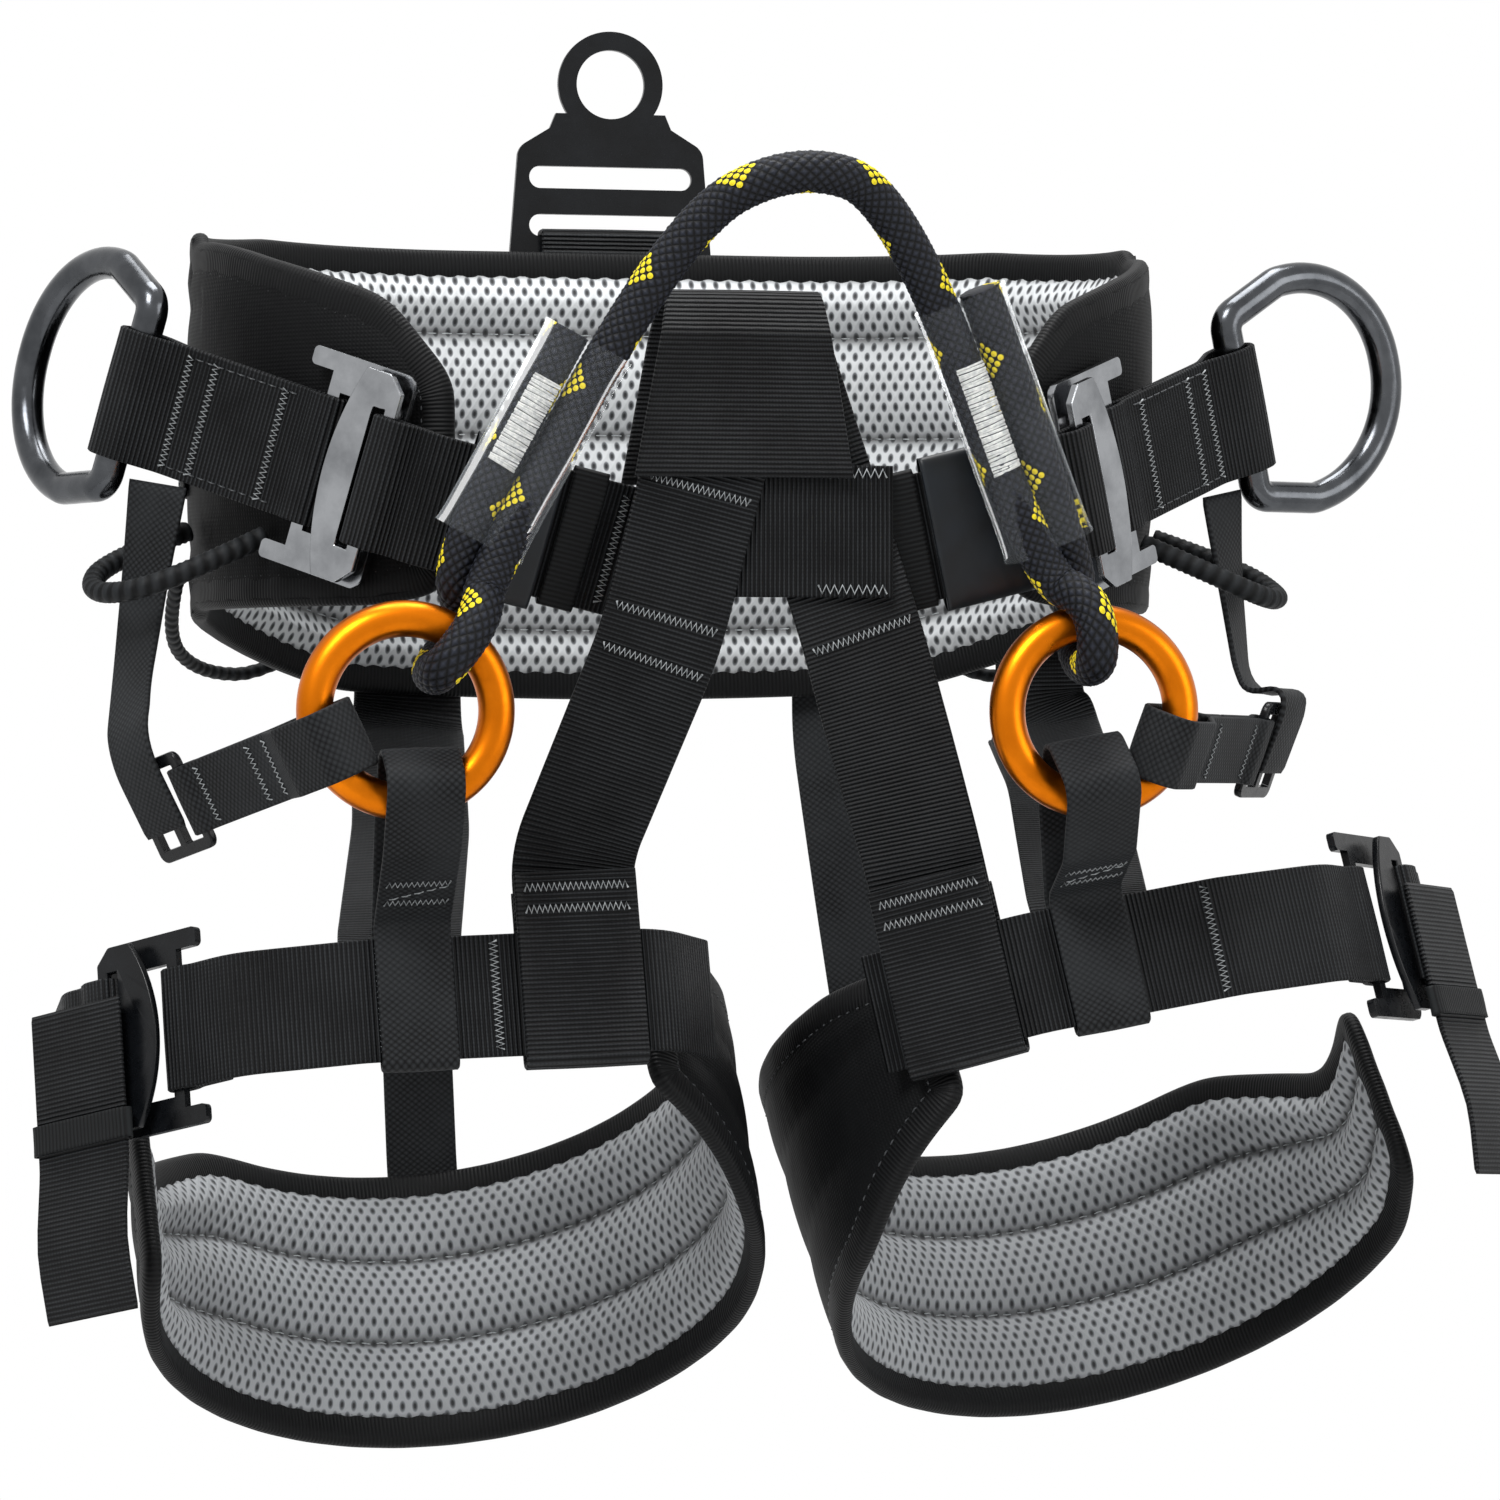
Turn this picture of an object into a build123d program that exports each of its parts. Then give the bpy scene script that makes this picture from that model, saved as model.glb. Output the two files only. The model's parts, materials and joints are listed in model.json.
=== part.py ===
from build123d import *
from math import atan2, cos, degrees, radians, sin, tan
import os

os.makedirs("parts", exist_ok=True)

# ---------------------------------------------------------------- driving sizes (mm)
web_t = 2.4            # webbing thickness
belt_w = 48.0          # waist webbing width
strap_w = 45.0         # yoke, leg band and riser webbing width
light_w = 28.0         # plain-weave strap width
gap = 0.3              # clearance between pieces that lie on each other
free = 0.6             # clearance between pieces that move on each other

# waist pad, a stadium in plan with its front open
waist_straight = 124.0  # distance between the centres of the two round ends
waist_r = 112.0         # inner radius of the round ends
lining_t = 2.0
foam_t = 8.0
cover_t = 2.0
pad_top = 88.0
pad_bottom = -87.0
wing_bottom = -55.0     # lower edge of the pad forward of the hips
wing_tip_x = 104.0      # half the front opening

# rear attachment plate
plate_t = 3.0
plate_w = 84.0
plate_neck_w = 50.0
plate_lobe_r = 21.5
plate_hole_r = 14.0
plate_foot_z = 84.0
plate_bar_h = 14.0
plate_slot_w = 67.0
plate_slot_h = 9.0
plate_top_slot_z = 122.0
plate_shoulder_z = 134.0
plate_hole_z = 160.0
plate_loop_w = 58.0

# positioning D-rings
dee_bar_d = 12.0
dee_reach = 76.0        # bar axis to the outside of the bow
dee_height = 98.0
dee_inner_h = 58.0      # clear height at the straight bar
side_strap_angle = 38.0  # how far the side webbing turns back from straight sideways
side_strap_drop = 18.0   # how far the side webbing slopes down to the front
dee_bar_z = 21.0
side_clear = 4.82       # waist pad to the line of the side webbing
dee_back = 90.98        # D-ring bar behind the place where that line passes the pad
side_loop_l = 84.0      # bar axis to buckle bar

# bridge rings
ring_major = 32.5
ring_minor = 6.5
ring_x = 126.0
ring_ahead = 15.5       # rings ahead of the straps across the front
ring_z = -96.0

# rope bridge
rope_d = 15.0
ring_bend = 12.6        # rope centre line where it turns in round a ring's tube
sleeve_t = 1.2

# two-part buckles
frame_t = 3.0
tongue_t = 3.0
rail = 5.0

waist_out = lining_t + foam_t + cover_t
waist_outer_r = waist_r + waist_out

# D-ring bars stand off the pad; everything across the front is set out from them
side_turn = radians(side_strap_angle)
dee_bar_x = (waist_straight / 2 + (waist_outer_r + side_clear) * sin(side_turn)
             + dee_back * cos(side_turn))
dee_bar_y = dee_back * sin(side_turn) - (waist_outer_r + side_clear) * cos(side_turn)
front_y = dee_bar_y - 89.0
ring_y = front_y - ring_ahead


# ---------------------------------------------------------------- shared helpers
def finish(builder, name):
    builder.part.label = name
    export_step(builder.part, f"parts/{name}.step")


def strap_plane(origin, run, outward):
    """Plane whose X is the run of a strap, Y its outward face and Z its width."""
    run = Vector(*run).normalized()
    width = run.cross(Vector(*outward)).normalized()
    return Plane(origin=origin, x_dir=run, z_dir=width)


def corner_radii(path, largest):
    """Largest fillet that the two runs beside each corner leave room for."""
    radii = []
    for before, corner, after in zip(path, path[1:], path[2:]):
        first = Vector(*corner) - Vector(*before)
        second = Vector(*after) - Vector(*corner)
        half_turn = radians(first.get_angle(second)) / 2
        room = 0.45 * min(first.length, second.length)
        radii.append(min(largest, room / tan(half_turn)))
    return radii


def webbing(name, plane, path, width, largest=14.0, thickness=web_t):
    """A flat strap: its path lies in the plane, its width stands on it."""
    with BuildPart() as strap:
        with BuildSketch(plane):
            with BuildLine():
                FilletPolyline(*path, radius=corner_radii(path, largest))
            trace(line_width=thickness)
        extrude(amount=width / 2, both=True)
    finish(strap, name)
    return strap


def cord_tube(label, points, diameter, tight=()):
    """A round cord: straight runs and tangent arcs; tight corners go round a ring's tube."""
    radii = corner_radii(points, 90)
    for corner in tight:
        radii[corner] = ring_bend
    print(label, "radii", [round(r, 1) for r in radii])
    with BuildPart() as cord:
        with BuildLine() as route:
            FilletPolyline(*points, radius=radii)
        with BuildSketch(Plane(origin=points[0], z_dir=route.line % 0)):
            Circle(diameter / 2)
        sweep(path=route.line)
    print(label, "length", round(sum(edge.length for edge in route.edges()), 1))
    return cord


def share_node(parts, name):
    """Several equal small pieces kept in one node."""
    with BuildPart() as group:
        for part in parts:
            add(part)
    finish(group, name)


def sides():
    """Left is -1 (toward -X), right is +1."""
    return (("l", -1), ("r", 1))


# ---------------------------------------------------------------- waist pad
def pad_outline():
    """Everything inside the side outline of the waist pad."""
    half = waist_straight / 2 + waist_outer_r + 1
    with BuildPart() as outline:
        with BuildSketch(Plane.XZ):
            for side in (-1, 1):
                with BuildLine():
                    FilletPolyline(
                        (side * half, pad_top - 6),
                        (side * 162, pad_top - 20),
                        (side * (wing_tip_x + 22), pad_top - 36),
                        (side * wing_tip_x, pad_top - 66),
                        (side * wing_tip_x, wing_bottom + 4),
                        (side * (wing_tip_x + 26), wing_bottom),
                        (side * half, wing_bottom),
                        radius=(30, 24, 20, 12, 20),
                    )
                    Line((side * half, wing_bottom), (side * half, pad_top - 6))
                make_face()
        extrude(amount=half)
        with BuildSketch(Plane.XZ):
            with BuildLine():
                Polyline((half, wing_bottom), (half, pad_top - 6), (half - 40, pad_top))
                Line((half - 40, pad_top), (-half + 40, pad_top))
                Polyline((-half + 40, pad_top), (-half, pad_top - 6), (-half, wing_bottom))
                Spline(
                    (-half, wing_bottom), (-110, pad_bottom + 3), (0, pad_bottom),
                    (110, pad_bottom + 3), (half, wing_bottom),
                )
            make_face()
        extrude(amount=-half)
    return outline


def pad_layer(name, inner, thickness, outline):
    with BuildPart() as layer:
        with BuildSketch(Plane.XY.offset(pad_bottom - 1)):
            SlotCenterToCenter(waist_straight, 2 * (inner + thickness))
            SlotCenterToCenter(waist_straight, 2 * inner, mode=Mode.SUBTRACT)
        extrude(amount=pad_top - pad_bottom + 2)
        add(outline.part, mode=Mode.INTERSECT)
    finish(layer, name)


waist_outline = pad_outline()
pad_layer("waist_pad_lining", waist_r, lining_t, waist_outline)
pad_layer("waist_pad_foam", waist_r + lining_t, foam_t, waist_outline)
pad_layer("waist_pad_cover", waist_r + lining_t + foam_t, cover_t, waist_outline)

# Rear waist webbing: hugs the cover from hip to hip round the back.
belt_r = waist_outer_r + gap
with BuildPart() as waist_webbing:
    with BuildSketch(Plane.XY.offset(10 - belt_w / 2)):
        SlotCenterToCenter(waist_straight, 2 * (belt_r + web_t))
        SlotCenterToCenter(waist_straight, 2 * belt_r, mode=Mode.SUBTRACT)
        with Locations((0, -waist_outer_r)):
            Rectangle(500, 2 * waist_outer_r, mode=Mode.SUBTRACT)
    extrude(amount=belt_w)
finish(waist_webbing, "waist_webbing")

# ---------------------------------------------------------------- rear plate
loop_half = 4.1 + web_t / 2
plate_y = waist_outer_r + gap + web_t + 4.1
with BuildPart() as rear_plate:
    with BuildSketch(Plane.XZ.offset(-plate_y)):
        with BuildLine():
            Polyline(
                (-plate_lobe_r - 1, plate_hole_z - 12),
                (-plate_neck_w / 2, plate_shoulder_z + 8),
                (-plate_w / 2 + 4, plate_shoulder_z),
                (-plate_w / 2, plate_foot_z),
                (plate_w / 2, plate_foot_z),
                (plate_w / 2 - 4, plate_shoulder_z),
                (plate_neck_w / 2, plate_shoulder_z + 8),
                (plate_lobe_r + 1, plate_hole_z - 12),
                close=True,
            )
        make_face()
        fillet([v for v in vertices() if v.Y < plate_shoulder_z + 1], radius=7)
        with Locations((0, plate_hole_z)):
            Circle(plate_lobe_r)
        with Locations((0, plate_hole_z)):
            Circle(plate_hole_r, mode=Mode.SUBTRACT)
        with Locations((0, plate_foot_z + plate_bar_h + plate_slot_h / 2), (0, plate_top_slot_z)):
            SlotOverall(plate_slot_w, plate_slot_h, mode=Mode.SUBTRACT)
    extrude(amount=plate_t / 2, both=True)
finish(rear_plate, "rear_plate")

plate_bar_z = plate_foot_z + plate_bar_h / 2
loop_top = plate_foot_z + plate_bar_h + free + web_t / 2
webbing(
    "rear_plate_loop",
    Plane(origin=(0, plate_y, 0), x_dir=(0, 1, 0), z_dir=(1, 0, 0)),
    [
        (-loop_half, 36), (-loop_half, loop_top), (loop_half, loop_top),
        (loop_half, 66), (-loop_half + web_t + gap, 50), (-loop_half + web_t + gap, 36),
    ],
    plate_loop_w, largest=2.0,
)


# ---------------------------------------------------------------- D-rings and side webbing
def side_axes(side):
    """Run towards the buckle and outward direction of the side webbing."""
    back = radians(side_strap_angle)
    drop = radians(side_strap_drop)
    run = Vector(-side * cos(back) * cos(drop), -sin(back) * cos(drop), -sin(drop))
    outward = Vector(side * sin(back), -cos(back), 0)
    return run, outward


def dee_ring(name, plane):
    """Bow, two shoulders and a straight bar bent from one round rod; the bar lies on Y."""
    bow_r = (dee_height - dee_bar_d) / 2
    bow_end = dee_reach - dee_bar_d / 2
    bar_half = (dee_inner_h + dee_bar_d) / 2
    with BuildPart() as dee:
        with BuildLine(plane) as route:
            FilletPolyline(
                (0, 0), (0, bar_half), (bow_end - bow_r - 1, bow_r), (bow_end, bow_r), (bow_end, 0),
                radius=(dee_bar_d / 2 + 1, 10, bow_r - 1),
            )
        with BuildSketch(Plane(origin=plane.origin, z_dir=plane.y_dir)):
            Circle(dee_bar_d / 2)
        sweep(path=route.line)
        mirror(about=Plane(origin=plane.origin, z_dir=plane.y_dir))
    finish(dee, name)


def side_frame(side):
    """Plane at the D-ring bar: X runs to the buckle and Y faces outward."""
    run, outward = side_axes(side)
    return strap_plane((side * dee_bar_x, dee_bar_y, dee_bar_z), run, outward)


def shifted(plane, x, y=0.0, turn=0.0):
    """The same plane moved in its own XY and turned about its own Z (degrees)."""
    run = plane.x_dir * cos(radians(turn)) + plane.y_dir * sin(radians(turn))
    return Plane(origin=plane.from_local_coords((x, y, 0)), x_dir=run, z_dir=plane.z_dir)


def buckle_frame(name, plane, length, half_height, window):
    """Flat frame round one window; its rear bar lies on the plane's Z."""
    with BuildPart() as frame:
        with BuildSketch(Plane(origin=plane.origin, x_dir=plane.x_dir, z_dir=plane.y_dir)):
            with Locations((length / 2 - rail / 2, 0)):
                RectangleRounded(length, 2 * half_height, 5)
                for end in (-1, 1):
                    with Locations((-6, end * (half_height - rail / 2 - 1))):
                        RectangleRounded(length + 8, rail + 2, 2)
                Rectangle(length - 2 * rail, 2 * window, mode=Mode.SUBTRACT)
        extrude(amount=frame_t / 2, both=True)
    finish(frame, name)


def buckle_tongue(name, plane, half_height, window, bow):
    """Plate that hooks over the frame, with one slot; its slot bar lies on the plane's Z."""
    with BuildPart() as tongue:
        with BuildSketch(Plane(origin=plane.origin, x_dir=plane.x_dir, z_dir=plane.y_dir)):
            with BuildLine():
                Polyline(
                    (tongue_bar / 2, half_height - 6), (tongue_bar / 2 - 6, half_height),
                    (-tongue_reach + 4, half_height),
                )
                ThreePointArc(
                    (-tongue_reach + 4, half_height), (-tongue_reach - bow, 0),
                    (-tongue_reach + 4, -half_height),
                )
                Polyline(
                    (-tongue_reach + 4, -half_height), (tongue_bar / 2 - 6, -half_height),
                    (tongue_bar / 2, -half_height + 6), (tongue_bar / 2, half_height - 6),
                )
            make_face()
            with Locations((-tongue_bar / 2 - tongue_slot / 2, 0)):
                Rectangle(tongue_slot, 2 * window, mode=Mode.SUBTRACT)
        extrude(amount=tongue_t / 2, both=True)
    finish(tongue, name)


def tube(plane, start, end, inner_w, inner_t, outer_w, outer_t):
    """A flat sleeve round a strap that runs along the plane's X."""
    with BuildPart() as sleeve:
        with BuildSketch(Plane(origin=plane.from_local_coords((start, 0, 0)), x_dir=plane.z_dir,
                               z_dir=plane.x_dir)):
            RectangleRounded(outer_w, outer_t, outer_t / 2 - 0.1)
            Rectangle(inner_w + 2 * gap, inner_t + 2 * gap, mode=Mode.SUBTRACT)
        extrude(amount=end - start)
    return sleeve


layer = web_t / 2 + gap / 2                       # centre of each of two layers that lie together
fold = dee_bar_d / 2 + free + web_t / 2           # webbing centre line round the D-ring bar
frame_fold = frame_t / 2 + free + web_t / 2       # the same round a buckle frame's bar
tongue_bar = 5.0
tongue_slot = 5.0
tongue_reach = 18.0
tongue_fold = tongue_t / 2 + 1.4 + web_t / 2      # roomy, because the tongue tilts in it
tongue_lift = frame_t / 2 + gap + web_t + 1.4 + tongue_t / 2   # tongue centre above frame centre
frame_l = 34.0
waist_frame_half = 40.0
waist_window = belt_w / 2 + 2.0
waist_tongue_half = 39.0
bar_fold = rail / 2 + free + web_t / 2
slot_x = -tongue_bar / 2 - tongue_slot / 2
front_belt_l = 86.0                               # bend to the end under the yoke
tongue_bar_x = 28.5                                # tongue bar in the frame's own axes

belt_keepers = []
dee_swing = {-1: 25.0, 1: -20.0}   # how far each bow stands back (+) from the line of its webbing
for tag, side in sides():
    frame = side_frame(side)
    bow = shifted(frame, 0, turn=180 + dee_swing[side])
    dee_ring(f"side_dee_ring_{tag}", Plane(origin=bow.origin, x_dir=bow.x_dir, z_dir=-bow.y_dir))
    seam = 58.0
    webbing(
        f"side_loop_{tag}", frame,
        [
            (seam, -layer), (20, -layer), (5, -fold), (-fold, -fold), (-fold, fold), (5, fold),
            (20, layer), (side_loop_l - 9, layer), (side_loop_l - 5, frame_fold),
            (side_loop_l + bar_fold, frame_fold), (side_loop_l + bar_fold, -frame_fold),
            (side_loop_l - 5, -frame_fold), (side_loop_l - 9, -layer), (seam + gap, -layer),
        ],
        belt_w,
    )
    buckle = shifted(frame, side_loop_l)
    buckle_frame(f"waist_buckle_frame_{tag}", buckle, frame_l, waist_frame_half, waist_window)
    tongue = shifted(buckle, tongue_bar_x, tongue_lift)
    buckle_tongue(f"waist_buckle_tongue_{tag}", tongue, waist_tongue_half, waist_window, 3)
    belt_y = -tongue_fold + web_t + gap
    bend = (22, belt_y)
    across = shifted(tongue, *bend, turn=-side_strap_angle)
    belt_end = tongue.to_local_coords(across.from_local_coords((front_belt_l, 0, 0)))
    webbing(
        f"front_belt_{tag}", tongue,
        [
            (17, -tongue_fold), (slot_x, -tongue_fold), (slot_x, tongue_fold), (7, tongue_fold),
            (12, belt_y), bend, (belt_end.X, belt_end.Y),
        ],
        belt_w, largest=26.0,
    )
    finish(tube(across, 12, 46, belt_w, web_t, 58, 7), f"belt_sleeve_{tag}")
    belt_keepers.append(tube(across, 49, 62, belt_w, web_t, 52, 6).part)

share_node(belt_keepers, "belt_keepers")

# ---------------------------------------------------------------- straps across the front
# From the body outwards: side belts, right yoke strap, centre belt, left yoke strap, ventral loop.
pitch = web_t + gap
right_yoke_y = front_y
centre_belt_y = right_yoke_y - pitch
left_yoke_y = centre_belt_y - pitch
ventral_front_y = left_yoke_y - pitch
ventral_back_y = front_y + 16.5
centre_belt_z = -31.0


def facing_front(x, y, z, lean=0.0):
    """Plane of a strap whose face looks to the front: X runs down the strap, Y to the front."""
    run = (sin(radians(lean)), 0, -cos(radians(lean)))
    return strap_plane((x, y, z), run, (0, -1, 0))


with BuildPart() as centre_belt:
    with BuildSketch(Plane.XZ.offset(-centre_belt_y)):
        with Locations((7, centre_belt_z)):
            Rectangle(94, belt_w)
    extrude(amount=web_t / 2, both=True)
finish(centre_belt, "centre_belt")

# Ventral loop: a wide folded strap standing up behind and in front of everything.
with BuildPart() as ventral_loop:
    with BuildSketch(Plane.YZ):
        with BuildLine():
            FilletPolyline(
                (ventral_back_y, -14), (ventral_back_y, 40), (ventral_back_y - 5, 55),
                (ventral_front_y + 5, 55), (ventral_front_y, 40), (ventral_front_y, -12),
                radius=(10, 4, 4, 10),
            )
        trace(line_width=web_t)
    extrude(amount=45, both=True)
    with BuildSketch(Plane.XZ):
        with BuildLine():
            Polyline((-29, 58), (27, 58), (39, -16), (-43, -16), close=True)
        make_face()
    extrude(amount=200, mode=Mode.INTERSECT)
finish(ventral_loop, "ventral_loop")

# Leg bands are level with the thighs' fronts; the two legs hang differently.
leg_tilt = 34.6
band_tilt = 14.0
leg_r = 117.0
leg_lining_t = 2.0
leg_foam_t = 8.0
leg_pad_h = 114.0
leg_front = {-1: (-97.0, front_y + 12.5, -199.0), 1: (146.0, front_y + 12.5, -186.0)}
leg_roll = {-1: 2.0, 1: 10.0}
pad_drop = {-1: 0.0, 1: 6.0}


def leg_plane(side, tilt):
    """X to the wearer's side, Y to the back and down, Z up the leg; its origin is the band front."""
    roll = radians(leg_roll[side])
    across = Vector(cos(roll), 0, sin(roll))
    rear = Vector(0, 1, 0) * cos(radians(tilt)) - Vector(-sin(roll), 0, cos(roll)) * sin(radians(tilt))
    return Plane(origin=leg_front[side], x_dir=across, z_dir=across.cross(rear))


def leg_pad_outline(plane, inner):
    """Side outline of a leg pad: high at the back, low at its outer end, narrow at its inner end."""
    half = leg_pad_h / 2
    back = leg_r + 2
    with BuildPart() as outline:
        with BuildSketch(Plane(origin=plane.origin, x_dir=plane.y_dir, z_dir=plane.x_dir)):
            with BuildLine():
                FilletPolyline(
                    (back, -half), (back, half), (20, half), (-60, 44), (-90, 34), (-90, -22),
                    (-40, -half + 6), (20, -half), close=True, radius=(1, 1, 60, 20, 5, 5, 40, 40),
                )
            make_face()
        extrude(amount=inner * back)
        with BuildSketch(Plane(origin=plane.origin, x_dir=plane.y_dir, z_dir=plane.x_dir)):
            with BuildLine():
                FilletPolyline(
                    (back, -half), (back, half), (84, half), (30, 18), (-14, 26), (-14, -half + 10),
                    (20, -half), close=True, radius=(1, 1, 30, 30, 10, 12, 20),
                )
            make_face()
        extrude(amount=-inner * back)
    return outline


def leg_layer(name, plane, outer, thickness, outline):
    with BuildPart() as layer_part:
        with BuildSketch(plane.offset(-leg_pad_h / 2 - 1)):
            Circle(outer)
            Circle(outer - thickness, mode=Mode.SUBTRACT)
        extrude(amount=leg_pad_h + 2)
        add(outline.part, mode=Mode.INTERSECT)
    finish(layer_part, name)


def seen_from(plane, other, x, y):
    """A point given in another plane's XY, in this plane's XY."""
    point = plane.to_local_coords(other.from_local_coords((x, y, 0)))
    return (point.X, point.Y)


def strip(name, stations, width, thickness=web_t):
    """A strap that twists: (point, across) stations joined by straight lengths."""
    points = [Vector(*point) for point, across in stations]
    with BuildPart() as strap:
        for index, (point, across) in enumerate(stations):
            before = points[max(index - 1, 0)]
            after = points[min(index + 1, len(points) - 1)]
            here = points[index]
            along = Vector(0, 0, 0)
            if index > 0:
                along = along + (here - before).normalized()
            if index < len(points) - 1:
                along = along + (after - here).normalized()
            along = along.normalized()
            level = (Vector(*across) - along * Vector(*across).dot(along)).normalized()
            with BuildSketch(Plane(origin=here, x_dir=level, z_dir=along)):
                Rectangle(width, thickness)
        loft(ruled=True)
    finish(strap, name)


def looped_strap(name, plane, length, width, far_fold, far_reach):
    """Strap round the ring tube at the plane's origin and round a bar at its far end."""
    webbing(
        name, plane,
        [
            (44, -layer), (26, -layer), (11, -loop_back), (-loop_top_reach, -loop_back),
            (-loop_top_reach, loop_front), (11, loop_front), (26, layer), (length - 9, layer),
            (length - 5, far_fold), (length + far_reach, far_fold),
            (length + far_reach, -far_fold), (length - 5, -far_fold), (length - 9, -layer),
            (44 + gap, -layer),
        ],
        width, largest=7.0,
    )


yoke_top = {-1: (-6.0, 30.0), 1: (9.0, 34.0)}
yoke_y = {-1: left_yoke_y, 1: right_yoke_y}
band_knee = {-1: 69.0, 1: 36.0}        # where the band turns back around the thigh
band_end = (92.0, 25.0)
foot_span = {-1: ((62, -2), (16, -2)), 1: (band_end, (36, -2))}
foot_half = web_t + 1.6                # loose loop, the yoke strap is sewn into it
wrap_half = web_t + gap
leg_frame_half = 36.0
leg_tongue_half = 34.0
leg_window = strap_w / 2 + 2.0
leg_buckle_at = (103.0, 35.0)
leg_buckle_turn = 50.0
ring_leg_angle = {-1: 279.0, 1: 273.0}   # places on the rings, counted on the left one
ring_side_angle = 204.0
ring_rope_angle = {-1: 52.0, 1: 84.0}
loop_back = 11.6
loop_front = 8.4
loop_top_reach = 14.2
hung_reach = {-1: 17.6, 1: 21.5}
hung_half = {-1: 11.4, 1: 14.6}
slide_at = {
    -1: (13 - dee_bar_x, dee_bar_y - 19.5, -131.0),
    1: (dee_bar_x + 4, dee_bar_y - 19.5, -110.0),
}
slide_l = 34.0
slide_w = 38.0
slide_rail = 4.0
slide_t = 3.0
slide_fold = slide_t / 2 + free + web_t / 2
slide_reach = slide_rail / 2 + free + web_t / 2
drop_from = 22.0
drop_out = slide_t / 2 + web_t / 2 + 3 * gap
riser_at = {-1: 80.0, 1: 36.0}         # where each riser leaves the pad, degrees from the side
wide_mid = {-1: (-100.0, 10.0, -140.0), 1: (153.0, -10.0, -125.0)}
riser_foot = {-1: -24.0, 1: -6.0}
riser_foot_y = 4.0
narrow_at = {-1: 6.4, 1: -27.0}        # place on the leg pad, degrees from its back
narrow_top = {-1: 80.0, 1: 78.0}
riser_out = {-1: web_t / 2 + 4 * gap, 1: web_t / 2 + 8 * gap}
narrow_out = {-1: riser_out[-1] + web_t + 5 * gap, 1: web_t / 2 + 3 * gap}
sleeve_top = {-1: (-62.0, ring_y - 10, 35.0), 1: (72.0, ring_y - 15, 52.0)}
sleeve_bottom = {-1: (-100.0, ring_y, -36.0), 1: (109.0, ring_y, -36.0)}
rope_rise = {-1: 52.0, 1: 42.0}
rope_apex = (8.0, ring_y - 34, 98.0)
leg_keepers = []
rear_loops = []


def ring_point(side, angle, y=0.0, out=0.0):
    """A point on a bridge ring's tube centre line; out moves it away from the ring's middle."""
    reach = ring_major + out
    turn = radians(angle)
    return Vector(side * ring_x - side * reach * cos(turn), ring_y + y, ring_z + reach * sin(turn))


def pad_point(side, angle, out, z):
    """A point outside the waist pad: angle from straight sideways, + to the back."""
    turn = radians(angle)
    reach = waist_outer_r + out
    return Vector(side * (waist_straight / 2 + reach * cos(turn)), reach * sin(turn), z)


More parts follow.
